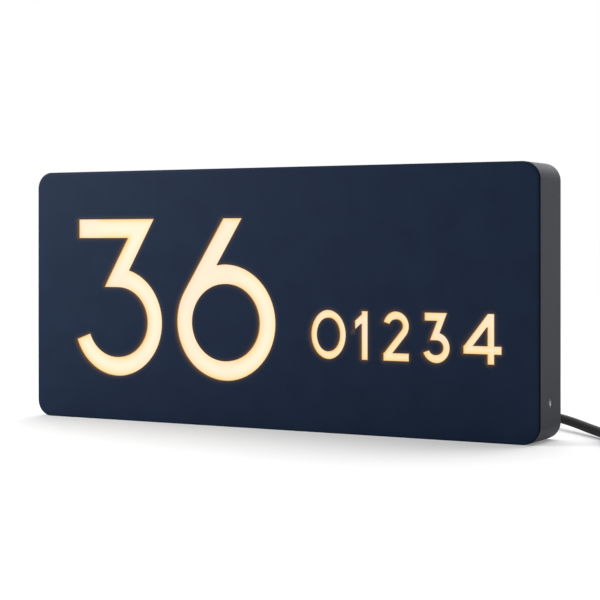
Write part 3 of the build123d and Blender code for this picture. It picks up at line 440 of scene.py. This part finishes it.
for node in ("face_plate", "large_digit_counter", "small_digit_counters"):
    mesh = bmesh.new()
    mesh.from_mesh(nodes[node].data)
    bmesh.ops.remove_doubles(mesh, verts=mesh.verts, dist=weld_distance)
    if node == "face_plate":
        bmesh.ops.dissolve_limit(mesh, angle_limit=flat_angle, verts=mesh.verts, edges=mesh.edges)
        rounder_corners(mesh)
        bmesh.ops.triangulate(mesh, faces=[face for face in mesh.faces if len(face.verts) > 3])
    remeshed_front(mesh)
    for vertex in mesh.verts:
        inset = rim_depth(vertex.co)
        if inset < edge_reach and vertex.co.y < plate_low.y + edge_drop:
            share = max(0.0, 1 - inset / edge_reach)
            vertex.co.y = plate_low.y + edge_drop * (1 - max(0.0, 1 - share**2) ** 0.5)
    bmesh.ops.recalc_face_normals(mesh, faces=mesh.faces)
    # A faint warm glow, painted onto the navy front as emission, that fades within a few millimetres of the
    # cut walls.
    painted_stray_glow = mesh.verts.layers.float.new("painted_stray_glow")
    for vertex in mesh.verts:
        away = nearest_wall.find(Vector((vertex.co.x, face_back, vertex.co.z)))[2]
        vertex[painted_stray_glow] = max(0.0, exp(-away / stray_fade) - stray_rest)
    data = smoothed(node + "_piece", mesh, navy, plate_edge_painted_shade, cut_wall_painted_glow)
    flatten_walls(data)
    # Front faces take the navy coat, the plate's outer sides the painted shade, and the cut walls the painted
    # glow.
    for face in data.polygons:
        if abs(face.normal.y) > front_facing_slope:
            face.material_index = 0
        elif (abs(face.center.x) > plate_high.x - corner_radius
              or abs(face.center.z - plate_middle) > plate_high.z / 2 - corner_radius):
            face.material_index = 1
        else:
            face.material_index = 2
    fit(node + "_piece", data, "cover", "navy_coat", node)

# The navy coat emits the painted warm glow beside the cut walls.
tree = navy.node_tree
shader = tree.nodes["Principled BSDF"]
stray = tree.nodes.new("ShaderNodeAttribute")
stray.attribute_name = "painted_stray_glow"
painted_stray_glow_colour = tree.nodes.new("ShaderNodeMix")
painted_stray_glow_colour.data_type = "RGBA"
painted_stray_glow_colour.inputs[6].default_value = (0, 0, 0, 1)
painted_stray_glow_colour.inputs[7].default_value = (0.075, 0.037, 0.0035, 1)
tree.links.new(stray.outputs["Fac"], painted_stray_glow_colour.inputs["Factor"])
tree.links.new(painted_stray_glow_colour.outputs[2], shader.inputs["Emission Color"])
shader.inputs["Emission Strength"].default_value = 1.0

# Diffuser
# One sheet of 2 mm opal acrylic behind the face plate, lit from behind. It glows warm white, and turns
# golden within a few millimetres of the cut walls, where the plate shades it.

panel_low, panel_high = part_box("diffuser_panel")
cell = 0.0009
glow_reach = 8.0
millimetres = 1000
columns = int((panel_high.x - panel_low.x) / cell)
rows = int((panel_high.z - panel_low.z) / cell)
panel_mesh = bmesh.new()
grid = [
    [
        panel_mesh.verts.new((
            panel_low.x + (panel_high.x - panel_low.x) * column / columns,
            panel_low.y,
            panel_low.z + (panel_high.z - panel_low.z) * row / rows,
        ))
        for column in range(columns + 1)
    ]
    for row in range(rows + 1)
]
for row in range(rows):
    for column in range(columns):
        corners = (grid[row][column], grid[row][column + 1], grid[row + 1][column + 1], grid[row + 1][column])
        panel_mesh.faces.new(corners)
rim = grid[0] + [line[-1] for line in grid[1:]]
rim += grid[-1][-2::-1] + [line[0] for line in reversed(grid[1:-1])]
back_rim = [panel_mesh.verts.new((vertex.co.x, panel_high.y, vertex.co.z)) for vertex in rim]
for index, vertex in enumerate(rim):
    after = (index + 1) % len(rim)
    panel_mesh.faces.new((rim[after], vertex, back_rim[index], back_rim[after]))
panel_mesh.faces.new(list(reversed(back_rim)))

opal = finish("lit_opal_acrylic", (50, 46, 40), (56, 52, 44), roughness=0.35, grain_scale=900.0, bump=0.03,
              specular=0.3)
tree = opal.node_tree
shader = tree.nodes["Principled BSDF"]
distance = tree.nodes.new("ShaderNodeAttribute")
distance.attribute_name = "wall_distance"
reach = tree.nodes.new("ShaderNodeMath")
reach.operation = "DIVIDE"
reach.inputs[1].default_value = glow_reach
glow = tree.nodes.new("ShaderNodeValToRGB")
glow_stops = [(0.0, (248, 203, 134)), (0.1, (254, 219, 157)), (0.26, (255, 232, 187)), (0.6, (255, 241, 211))]
for position, colour in glow_stops[1:-1]:
    glow.color_ramp.elements.new(position).color = linear(*colour)
glow.color_ramp.elements[0].color = linear(*glow_stops[0][1])
glow.color_ramp.elements[-1].position = glow_stops[-1][0]
glow.color_ramp.elements[-1].color = linear(*glow_stops[-1][1])
place = tree.nodes.new("ShaderNodeTexCoord")
patches = tree.nodes.new("ShaderNodeTexNoise")
patches.inputs["Scale"].default_value = 30.0
patches.inputs["Detail"].default_value = 1.0
patch_share = tree.nodes.new("ShaderNodeMapRange")
patch_share.inputs["From Min"].default_value = 0.46
patch_share.inputs["From Max"].default_value = 0.66
patch_share.inputs["To Max"].default_value = 0.75
warmed = tree.nodes.new("ShaderNodeMix")
warmed.data_type = "RGBA"
warmed.inputs[7].default_value = linear(255, 232, 205)
tree.links.new(distance.outputs["Fac"], reach.inputs[0])
tree.links.new(reach.outputs[0], glow.inputs["Fac"])
tree.links.new(place.outputs["Object"], patches.inputs["Vector"])
tree.links.new(patches.outputs["Fac"], patch_share.inputs["Value"])
tree.links.new(patch_share.outputs["Result"], warmed.inputs["Factor"])
tree.links.new(glow.outputs["Color"], warmed.inputs[6])
tree.links.new(warmed.outputs[2], shader.inputs["Emission Color"])
shader.inputs["Emission Strength"].default_value = 0.97

panel_data = bpy.data.meshes.new("opal_diffuser")
panel_mesh.to_mesh(panel_data)
panel_mesh.free()
wall_distance = panel_data.attributes.new("wall_distance", "FLOAT", "POINT")
for vertex in panel_data.vertices:
    flat_place = Vector((vertex.co.x, face_back, vertex.co.z))
    wall_distance.data[vertex.index].value = nearest_wall.find(flat_place)[2] * millimetres
panel_data.materials.append(opal)
fit("opal_diffuser", panel_data, "cover", "opal_acrylic", "diffuser_panel")

# Frame
# Aluminium band bent round the box in one piece, with a flange turned in behind the face plate and a small
# hole in each side for its screw. It has the same fine powder coat in charcoal.

charcoal = finish("charcoal_powder_coat", (57, 58, 65), (66, 67, 74), roughness=0.6, spread=0.05,
                  grain_scale=1500.0, cloud_scale=30.0, bump=0.3, depth=0.00006, specular=0.12)
mesh = bmesh.new()
mesh.from_mesh(nodes["housing_frame"].data)
bmesh.ops.remove_doubles(mesh, verts=mesh.verts, dist=weld_distance)
bmesh.ops.dissolve_limit(mesh, angle_limit=flat_angle, verts=mesh.verts, edges=mesh.edges)
rounder_corners(mesh)
bmesh.ops.triangulate(mesh, faces=[face for face in mesh.faces if len(face.verts) > 4])
data = smoothed("housing_frame_piece", mesh, charcoal)
flatten_walls(data)
fit("housing_frame_piece", data, "cover", "charcoal_coat", "housing_frame")

# Screws, studs, nuts and clips of the cover
# Countersunk socket screws in the frame's sides, blackened, with a socket worn bright by the key. The studs,
# nuts and clips are bright zinc-plated steel, cut from wire and strip.

zinc = finish("bright_zinc", (168, 171, 178), (196, 198, 202), roughness=0.3, spread=0.08, metallic=1.0,
              grain_scale=1800.0, cloud_scale=300.0)
black_oxide = finish("black_oxide", (8, 8, 9), (20, 20, 22), roughness=0.3, spread=0.06, grain_scale=3000.0,
                     cloud_scale=900.0, specular=0.25)
worn_steel = finish("worn_steel", (170, 171, 176), (208, 208, 212), roughness=0.16, spread=0.04, metallic=1.0,
                    grain_scale=3000.0, cloud_scale=900.0)
corner_angle = radians(40)
node_weld = 2e-6


def softened(node, body, slot, material, edge):
    """A CAD node's form with its sharp corners rounded over, as moulding, bending and plating leave them."""
    mesh = bmesh.new()
    mesh.from_mesh(nodes[node].data)
    bmesh.ops.remove_doubles(mesh, verts=mesh.verts, dist=node_weld)
    bmesh.ops.dissolve_limit(mesh, angle_limit=flat_angle, verts=mesh.verts, edges=mesh.edges)
    corners = [part for part in mesh.edges if part.is_manifold and part.calc_face_angle() > corner_angle]
    bmesh.ops.bevel(mesh, geom=corners, offset=edge, segments=2, profile=0.6, affect="EDGES",
                    clamp_overlap=True)
    bmesh.ops.triangulate(mesh, faces=[face for face in mesh.faces if len(face.verts) > 4])
    return fit(node + "_piece", smoothed(node + "_piece", mesh, material), body, slot, node)


socket_reach = 0.00125
screws = softened("side_screws", "cover", "black_steel", black_oxide, edge=0.00018)
screws.data.materials.append(worn_steel)
screw_low, screw_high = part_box("side_screws")
for face in screws.data.polygons:
    off_axis = ((face.center.y - (screw_low.y + screw_high.y) / 2) ** 2
                + (face.center.z - (screw_low.z + screw_high.z) / 2) ** 2) ** 0.5
    if off_axis < socket_reach:
        face.material_index = 1
softened("retainer_clips", "cover", "zinc_steel", zinc, edge=0.0002)
softened("stud_nuts", "cover", "zinc_steel", zinc, edge=0.0002)
softened("side_nuts", "cover", "zinc_steel", zinc, edge=0.0002)
dress(zinc, "face_studs")

# Back plate, brackets and guides
# Mill-finish aluminium: a flat 2 mm sheet with its rolling grain along the width, four wall holes and the
# gland's hole, and lengths of bent strip riveted to it, which carry the frame.

aluminium = finish("mill_aluminium", (172, 174, 177), (202, 204, 206), roughness=0.36, spread=0.1,
                   metallic=1.0, grain_scale=700.0, cloud_scale=60.0, bump=0.12, stretch=(0.04, 1.0, 1.0))
dress(aluminium, "back_plate")
softened("side_brackets", "base", "bare_aluminium", aluminium, edge=0.0003)
softened("top_guides", "base", "bare_aluminium", aluminium, edge=0.0003)
softened("bracket_rivets", "base", "bare_aluminium", aluminium, edge=0.0004)

# Reflector sheet and LED bars
# A white film on the back plate, cut out round what passes through it, and six aluminium boards with a white
# solder mask. Each board is held by two cross-slot screws.

film = finish("white_film", (226, 226, 224), (238, 238, 236), roughness=0.7, grain_scale=1100.0,
              cloud_scale=25.0, bump=0.08)
dress(film, "reflector_sheet")
solder_mask = finish("white_solder_mask", (212, 214, 212), (232, 234, 231), roughness=0.32,
                     grain_scale=2600.0, cloud_scale=120.0, bump=0.08)
bar_names = [f"led_bar_{number}" for number in range(1, 7)]
for name in bar_names:
    softened(name, "base", "white_board", solder_mask, edge=0.0002)
softened("bar_screws", "base", "zinc_steel", zinc, edge=0.00015)

# LED packages
# Each is a white moulded frame, 3.5 by 2.8 mm, with a shallow yellow phosphor window. They stand in evenly
# spaced rows on the bars, so one package is repeated on the rows' places.

chip_names = [f"led_chips_{number}" for number in range(1, 7)]
chip_counts = (8, 8, 8, 8, 7, 7)
package_length = 0.0035
package_height = 0.0028
package_depth = 0.0008
window_radius = 0.00112
window_scale = (1.2, 0.08, 1.0)
window_rise = 0.44
chip_places = []
for name, count in zip(chip_names, chip_counts):
    low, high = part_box(name)
    span = high.x - low.x - package_length
    for number in range(count):
        across = low.x + package_length / 2 + span * number / (count - 1)
        chip_places.append((across, (low.y + high.y) / 2, (low.z + high.z) / 2))
package_mould = finish("package_mould", (228, 228, 222), (240, 240, 235), roughness=0.4, grain_scale=5000.0,
                       bump=0.05)
phosphor = finish("phosphor_window", (214, 176, 60), (236, 204, 92), roughness=0.3, grain_scale=6000.0,
                  bump=0.05)

packages = bpy.data.node_groups.new("led_packages", "GeometryNodeTree")
packages.interface.new_socket("Geometry", in_out="INPUT", socket_type="NodeSocketGeometry")
packages.interface.new_socket("Package Size", in_out="INPUT", socket_type="NodeSocketVector")
packages.interface.new_socket("Window Radius", in_out="INPUT", socket_type="NodeSocketFloat")
packages.interface.new_socket("Window Scale", in_out="INPUT", socket_type="NodeSocketVector")
packages.interface.new_socket("Geometry", in_out="OUTPUT", socket_type="NodeSocketGeometry")
inlet = packages.nodes.new("NodeGroupInput")
outlet = packages.nodes.new("NodeGroupOutput")
body = packages.nodes.new("GeometryNodeMeshCube")
window = packages.nodes.new("GeometryNodeMeshUVSphere")
window.inputs["Segments"].default_value = 14
window.inputs["Rings"].default_value = 6
window_shape = packages.nodes.new("GeometryNodeTransform")
window_front = packages.nodes.new("ShaderNodeVectorMath")
window_front.operation = "MULTIPLY"
window_front.inputs[1].default_value = (0.0, -window_rise, 0.0)
marked = packages.nodes.new("GeometryNodeStoreNamedAttribute")
marked.data_type = "BOOLEAN"
marked.domain = "FACE"
marked.inputs["Name"].default_value = "is_window"
marked.inputs["Value"].default_value = True
joined = packages.nodes.new("GeometryNodeJoinGeometry")
stood = packages.nodes.new("GeometryNodeInstanceOnPoints")
made_real = packages.nodes.new("GeometryNodeRealizeInstances")
body_coat = packages.nodes.new("GeometryNodeSetMaterial")
body_coat.inputs["Material"].default_value = package_mould
window_mark = packages.nodes.new("GeometryNodeInputNamedAttribute")
window_mark.data_type = "BOOLEAN"
window_mark.inputs["Name"].default_value = "is_window"
window_coat = packages.nodes.new("GeometryNodeSetMaterial")
window_coat.inputs["Material"].default_value = phosphor
packages.links.new(inlet.outputs["Package Size"], body.inputs["Size"])
packages.links.new(inlet.outputs["Package Size"], window_front.inputs[0])
packages.links.new(inlet.outputs["Window Radius"], window.inputs["Radius"])
packages.links.new(inlet.outputs["Window Scale"], window_shape.inputs["Scale"])
packages.links.new(window_front.outputs["Vector"], window_shape.inputs["Translation"])
packages.links.new(window.outputs["Mesh"], window_shape.inputs["Geometry"])
packages.links.new(window_shape.outputs["Geometry"], marked.inputs["Geometry"])
packages.links.new(body.outputs["Mesh"], joined.inputs["Geometry"])
packages.links.new(marked.outputs["Geometry"], joined.inputs["Geometry"])
packages.links.new(inlet.outputs["Geometry"], stood.inputs["Points"])
packages.links.new(joined.outputs["Geometry"], stood.inputs["Instance"])
packages.links.new(stood.outputs["Instances"], made_real.inputs["Geometry"])
packages.links.new(made_real.outputs["Geometry"], body_coat.inputs["Geometry"])
packages.links.new(body_coat.outputs["Geometry"], window_coat.inputs["Geometry"])
packages.links.new(window_mark.outputs["Attribute"], window_coat.inputs["Selection"])
packages.links.new(window_coat.outputs["Geometry"], outlet.inputs["Geometry"])
socket_of = {item.name: item.identifier for item in packages.interface.items_tree if item.in_out == "INPUT"}

row_data = bpy.data.meshes.new("led_rows")
row_data.from_pydata(chip_places, [], [])
led_rows = bpy.data.objects.new("led_rows", row_data)
scene.collection.objects.link(led_rows)
repeat = led_rows.modifiers.new("packages", "NODES")
repeat.node_group = packages
repeat[socket_of["Package Size"]] = (package_length, package_depth, package_height)
repeat[socket_of["Window Radius"]] = window_radius
repeat[socket_of["Window Scale"]] = window_scale
bpy.context.view_layer.update()
placed_rows = led_rows.evaluated_get(bpy.context.evaluated_depsgraph_get())
led_data = bpy.data.meshes.new_from_object(placed_rows)
led_data.name = "led_package_rows"
bpy.data.objects.remove(led_rows)
fit("led_package_rows", led_data, "base", "led_phosphor", *chip_names)

# Driver
# Constant-voltage driver in an off-white moulded case under two zinc-plated straps. Inside are a green board,
# a transformer wound with yellow tape, a sleeved capacitor and a filter block.

driver_plastic = finish("driver_plastic", (206, 205, 198), (222, 221, 214), roughness=0.5,
                        grain_scale=1800.0, cloud_scale=50.0, bump=0.25)
softened("driver_case", "base", "driver_plastic", driver_plastic, edge=0.0003)
softened("driver_lid", "base", "driver_plastic", driver_plastic, edge=0.0003)
green_board = finish("green_board", (16, 70, 38), (24, 92, 52), roughness=0.3, grain_scale=1500.0,
                     cloud_scale=200.0)
dress(green_board, "driver_board")
yellow_tape = finish("yellow_tape", (206, 160, 38), (228, 186, 62), roughness=0.35, grain_scale=1200.0,
                     cloud_scale=150.0)
softened("driver_components", "base", "wound_parts", yellow_tape, edge=0.0003)
softened("driver_straps", "base", "zinc_steel", zinc, edge=0.0002)
softened("strap_screws", "base", "zinc_steel", zinc, edge=0.00015)

# Terminal block and lead clips
# Moulded in natural nylon, cream-white with a waxy gloss. The block clamps the bared cores under zinc-plated
# screws, and the clips hold the leads down on the back plate.

natural_nylon = finish("natural_nylon", (204, 203, 192), (224, 223, 212), roughness=0.38, grain_scale=1400.0,
                       cloud_scale=80.0, bump=0.1)
softened("terminal_block", "base", "terminal_nylon", natural_nylon, edge=0.0003)
softened("lead_clips", "base", "terminal_nylon", natural_nylon, edge=0.0003)
softened("terminal_screws", "base", "zinc_steel", zinc, edge=0.0001)

# Leads inside the box
# Pairs of single cores in smooth coloured insulation, bent to lie flat on the back plate: brown and blue on
# the mains side, red and black from the driver to the bars.


def insulation(name, dark, light):
    """Smooth extruded insulation of one colour."""
    return finish(name, dark, light, roughness=0.3, grain_scale=2200.0, bump=0.05)


brown = insulation("brown_insulation", (88, 46, 24), (104, 58, 32))
blue = insulation("blue_insulation", (28, 72, 132), (38, 88, 152))
red = insulation("red_insulation", (150, 24, 22), (172, 34, 30))
black = insulation("black_insulation", (16, 16, 18), (26, 26, 28))
for node, first, second in (
    ("supply_leads", brown, blue), ("driver_leads", brown, blue),
    ("output_leads", red, black), ("link_leads", red, black),
):
    mesh = bmesh.new()
    mesh.from_mesh(nodes[node].data)
    bmesh.ops.remove_doubles(mesh, verts=mesh.verts, dist=node_weld)
    coloured = set()
    lead_count = 0
    for start in mesh.faces:
        if start in coloured:
            continue
        waiting = [start]
        coloured.add(start)
        while waiting:
            face = waiting.pop()
            face.material_index = lead_count % 2
            for edge in face.edges:
                for other in edge.link_faces:
                    if other not in coloured:
                        coloured.add(other)
                        waiting.append(other)
        lead_count += 1
    fit(node + "_piece", smoothed(node + "_piece", mesh, first, second), "base", "inner_lead", node)

# Cable gland
# Moulded black nylon: a hexagon body in the back plate's hole, its locknut inside the box, and a fluted cap
# that squeezes a rubber seal round the cord. A rubber washer lies under the body.

black_nylon = finish("black_nylon", (17, 17, 19), (30, 30, 32), roughness=0.36, grain_scale=2200.0, bump=0.15,
                     specular=0.4)
softened("gland_body", "base", "black_nylon", black_nylon, edge=0.0003)
softened("gland_locknut", "base", "black_nylon", black_nylon, edge=0.0003)
softened("gland_cap", "base", "black_nylon", black_nylon, edge=0.0002)

# Strain reliefs
# Soft black sleeves with rounded ribs that thin out along the cord, one in the gland's cap and one moulded on
# the plug. The grooves between the ribs let them bend evenly.


def ribbed_sleeve(name, start, direction, length, first_radius, last_radius, slot, stands_for):
    """A turned sleeve along direction, with four rounded grooves between its ribs."""
    around = 28
    steps = 8
    count = 9
    groove_share = 0.35
    lip = 0.0003
    end_lip = 0.0004
    along = direction.normalized()
    side = along.orthogonal().normalized()
    up = along.cross(side)
    profile = []
    for number in range(count):
        for step in range(steps):
            share = (number + step / steps) / count
            radius = first_radius + (last_radius - first_radius) * share
            valley = sin(pi * step / steps) ** 0.5 if number % 2 else 0.0
            profile.append((share * length, radius - groove_share * (radius - cord_diameter / 2) * valley))
    profile.append((length, last_radius))
    bore = cord_diameter / 2
    profile = [(0.0, bore), (0.0, first_radius - lip), (lip, first_radius)] + profile[1:-1]
    profile += [(length - lip, last_radius), (length, last_radius - end_lip), (length, bore)]
    mesh = bmesh.new()
    rings = []
    for distance, radius in profile:
        ring = []
        for number in range(around):
            angle = 2 * pi * number / around
            out = side * cos(angle) + up * sin(angle)
            ring.append(mesh.verts.new(start + along * distance + out * radius))
        rings.append(ring)
    rings.append(rings[0])
    for ring, after in zip(rings, rings[1:]):
        for number in range(around):
            beyond = (number + 1) % around
            mesh.faces.new((ring[number], ring[beyond], after[beyond], after[number]))
    bmesh.ops.recalc_face_normals(mesh, faces=mesh.faces)
    return fit(name, smoothed(name, mesh, rubber), "base", slot, stands_for)


boot_length = 0.021
boot_start = Vector(cord_exit) - Vector((0, boot_length, 0))
gland_boot = ribbed_sleeve("gland_boot", boot_start, Vector((0, 1, 0)), boot_length, first_radius=0.0048,
                           last_radius=0.0038, slot="black_rubber", stands_for="cord_boot")
plug_point = cord_points[-1]
plug_along = cord_points[-1] - cord_points[-2]
plug_along.z = 0.0
plug_along.normalize()
plug_boot_length = 0.020
plug_sleeve = ribbed_sleeve("plug_sleeve", plug_point, plug_along, plug_boot_length, first_radius=0.0037,
                            last_radius=0.00525, slot="plug_plastic", stands_for="plug_boot")

# Plug
# Flat two-pin plug, moulded in one with the cord: the body widens from the sleeve to its shoulders, with grip
# ridges on both flat sides. The pins are nickel-plated brass, sleeved in black for their first half.

plug_width = 0.0353
plug_thickness = 0.0137
plug_length = 0.036
neck_width = 0.016
neck_thickness = 0.0105
shoulder = 0.015
edge_round = 0.0012
ridge_start = 0.011
ridge_end = 0.025
ridge_pitch = 0.0028
ridge_depth = 0.0006
ridge_width = 0.62
side_fullness = 0.42
top_fullness = 0.55
around = 72
stations = 60
plug_side = Vector((-plug_along.y, plug_along.x, 0))
mesh = bmesh.new()
rings = []
for station in range(stations + 1):
    reach = plug_length * station / stations
    widening = min(reach / shoulder, 1.0)
    widening = widening * widening * (3 - 2 * widening)
    half_width = (neck_width + (plug_width - neck_width) * widening) / 2
    half_height = (neck_thickness + (plug_thickness - neck_thickness) * widening) / 2
    end = min(reach, plug_length - reach)
    if end < edge_round:
        drop = edge_round - (edge_round**2 - (edge_round - end) ** 2) ** 0.5
        half_width -= drop
        half_height -= drop
    ridge = 0.0
    if ridge_start < reach < ridge_end:
        ridge = 0.5 - 0.5 * cos(2 * pi * (reach - ridge_start) / ridge_pitch)
    ring = []
    for number in range(around):
        angle = 2 * pi * number / around
        swing, lift = cos(angle), sin(angle)
        across = half_width * abs(swing) ** side_fullness * (1 if swing > 0 else -1)
        up = half_height * abs(lift) ** top_fullness * (1 if lift > 0 else -1)
        inner = max(0.0, 1.0 - abs(across) / (ridge_width * half_width)) ** 0.5
        up -= ridge_depth * ridge * inner * (1 if lift > 0 else -1)
        middle = plug_point + plug_along * (plug_boot_length + reach)
        ring.append(mesh.verts.new(middle + plug_side * across + Vector((0, 0, up))))
    rings.append(ring)
for ring, after in zip(rings, rings[1:]):
    for number in range(around):
        beyond = (number + 1) % around
        mesh.faces.new((ring[number], ring[beyond], after[beyond], after[number]))
mesh.faces.new(rings[0])
mesh.faces.new(list(reversed(rings[-1])))
bmesh.ops.recalc_face_normals(mesh, faces=mesh.faces)
plug_plastic = finish("plug_plastic", (13, 13, 14), (23, 23, 25), roughness=0.5, grain_scale=1900.0,
                      cloud_scale=60.0, bump=0.25, specular=0.3)
plug_data = smoothed("plug_moulding", mesh, plug_plastic)
plug = fit("plug_moulding", plug_data, "base", "plug_plastic", "plug_body")
nickel = finish("nickel_plate", (176, 172, 158), (206, 202, 188), roughness=0.22, spread=0.06, metallic=1.0,
                grain_scale=2400.0, cloud_scale=400.0, bump=0.05)
dress(nickel, "plug_pins")
dress(plug_plastic, "pin_sleeves")

# Cord tie
# Hook-and-loop strap, 8 mm wide, once round all the turns of the coil and lapped over itself on top. Its
# outer side is a short fibrous pile, the inner one is smoother, and the cut end stands up a little.

strap_width = 0.008
strap_thickness = 0.0005
side_slack = 0.0009
top_slack = 0.0003
strap_reach = [(point - coil_start).dot(inward) for point in coil_far_side]
strap_low = min(strap_reach) - cord_diameter / 2 - side_slack
strap_high = max(strap_reach) + cord_diameter / 2 + side_slack
strap_floor = 0.0005
strap_top = coil_start.z + coil_pitch + cord_diameter / 2 + top_slack
strap_middle = coil_start + heading * cord_diameter + inward * (strap_low + strap_high) / 2
half_across = (strap_high - strap_low) / 2
half_up = (strap_top - strap_floor) / 2
bend = 0.0032
steps = 8
loop = []
for corner, (side, lift) in enumerate(((1, 1), (1, -1), (-1, -1), (-1, 1))):
    for step in range(steps + 1):
        angle = pi / 2 - corner * pi / 2 - pi / 2 * step / steps
        loop.append((
            side * (half_across - bend) + bend * cos(angle),
            lift * (half_up - bend) + bend * sin(angle),
            cos(angle), sin(angle),
        ))
lap_rise = 0.0003
lap = [(-0.006, half_up, 0.0, 1.0), (-0.001, half_up, 0.0, 1.0), (0.004, half_up + lap_rise, -0.05, 1.0)]
strap_section = [
    (-0.5, -0.3), (-0.44, -0.5), (0.44, -0.5), (0.5, -0.3), (0.5, 0.3), (0.44, 0.5), (0.0, 0.62),
    (-0.44, 0.5), (-0.5, 0.3),
]
strap_path = [(0.002, half_up, 0.0, 1.0)] + loop
thickness_out = [strap_thickness * 0.5] * len(strap_path) + [strap_thickness * 1.5] * len(lap)
strap_path += lap
mesh = bmesh.new()
rings = []
for (across, up, out_across, out_up), offset in zip(strap_path, thickness_out):
    ring = []
    for width_share, layer in strap_section:
        out = offset + layer * strap_thickness
        middle = Vector((strap_middle.x, strap_middle.y, strap_floor + half_up))
        middle += inward * (across + out_across * out) + Vector((0, 0, up + out_up * out))
        ring.append(mesh.verts.new(middle + heading * strap_width * width_share))
    rings.append(ring)
for ring, after in zip(rings, rings[1:]):
    for number in range(len(ring)):
        beyond = (number + 1) % len(ring)
        mesh.faces.new((ring[number], ring[beyond], after[beyond], after[number]))
mesh.faces.new(rings[0])
mesh.faces.new(list(reversed(rings[-1])))
bmesh.ops.recalc_face_normals(mesh, faces=mesh.faces)
pile = finish("strap_pile", (14, 14, 15), (34, 34, 36), roughness=0.85, grain_scale=5200.0,
              cloud_scale=1500.0, bump=0.8, depth=0.0002, specular=0.15)
strap = fit("coil_strap", smoothed("coil_strap", mesh, pile), "base", "tie_strip", "cord_tie")

# Floor, backdrop and light
# A white studio table under even soft light from above and all round, with one soft box at the upper left.
# The table and the backdrop look white to the lens, to gloss and through clear parts, but light no more.

floor_size = 40.0
floor_data = bpy.data.meshes.new("studio_floor")
floor_data.from_pydata(
    [(x * floor_size, y * floor_size, 0) for x, y in ((-1, -1), (1, -1), (1, 1), (-1, 1))], [], [(0, 1, 2, 3)]
)
floor = bpy.data.objects.new("studio_floor", floor_data)
scene.collection.objects.link(floor)
floor_paint = bpy.data.materials.new("studio_floor")
floor_paint.use_nodes = True


def seen_by_lens_or_gloss(tree):
    """A value of 1 for rays from the lens, from gloss and through clear parts, else 0."""
    path = tree.nodes.new("ShaderNodeLightPath")
    camera_or_glossy = tree.nodes.new("ShaderNodeMath")
    camera_or_glossy.operation = "MAXIMUM"
    any_seen = tree.nodes.new("ShaderNodeMath")
    any_seen.operation = "MAXIMUM"
    tree.links.new(path.outputs["Is Camera Ray"], camera_or_glossy.inputs[0])
    tree.links.new(path.outputs["Is Glossy Ray"], camera_or_glossy.inputs[1])
    tree.links.new(camera_or_glossy.outputs[0], any_seen.inputs[0])
    tree.links.new(path.outputs["Is Transmission Ray"], any_seen.inputs[1])
    return any_seen.outputs[0]


tree = floor_paint.node_tree
tree.nodes.clear()
diffuse = tree.nodes.new("ShaderNodeBsdfDiffuse")
diffuse.inputs["Color"].default_value = (0.8, 0.8, 0.8, 1)
lift = tree.nodes.new("ShaderNodeEmission")
lift.inputs["Strength"].default_value = 0.21
dark = tree.nodes.new("ShaderNodeEmission")
dark.inputs["Strength"].default_value = 0.0
chosen = tree.nodes.new("ShaderNodeMixShader")
total = tree.nodes.new("ShaderNodeAddShader")
output = tree.nodes.new("ShaderNodeOutputMaterial")
tree.links.new(seen_by_lens_or_gloss(tree), chosen.inputs["Fac"])
tree.links.new(dark.outputs[0], chosen.inputs[1])
tree.links.new(lift.outputs[0], chosen.inputs[2])
tree.links.new(diffuse.outputs[0], total.inputs[0])
tree.links.new(chosen.outputs[0], total.inputs[1])
tree.links.new(total.outputs[0], output.inputs["Surface"])
floor_data.materials.append(floor_paint)

world = bpy.data.worlds.new("studio")
scene.world = world
world.use_nodes = True
tree = world.node_tree
backdrop = tree.nodes["Background"]
backdrop.inputs["Color"].default_value = (1, 1, 1, 1)
level = tree.nodes.new("ShaderNodeMath")
level.operation = "MULTIPLY_ADD"
level.inputs[1].default_value = 0.73
level.inputs[2].default_value = 0.27
tree.links.new(seen_by_lens_or_gloss(tree), level.inputs[0])
tree.links.new(level.outputs[0], backdrop.inputs["Strength"])

overhead = bpy.data.lights.new("overhead", "SUN")
overhead.energy = 2.85
overhead.angle = radians(70)
overhead_lamp = bpy.data.objects.new("overhead", overhead)
overhead_lamp.rotation_euler = (radians(-38), 0, 0)
scene.collection.objects.link(overhead_lamp)

soft_box = bpy.data.lights.new("soft_box", "AREA")
soft_box.shape = "RECTANGLE"
soft_box.size = 0.4
soft_box.size_y = 0.4
soft_box.energy = 4.8
soft_lamp = bpy.data.objects.new("soft_box", soft_box)
soft_lamp.location = (-0.6, -0.47, 0.4)
soft_lamp.rotation_euler = (Vector((-0.1, 0, 0.1)) - soft_lamp.location).to_track_quat("-Z", "Y").to_euler()
scene.collection.objects.link(soft_lamp)

scene.view_settings.view_transform = "Standard"

# The cord's lead is 1.817 m long from the boot to the plug, with the gland's pieces, the strap and the plug
# on it.

bpy.context.view_layer.update()
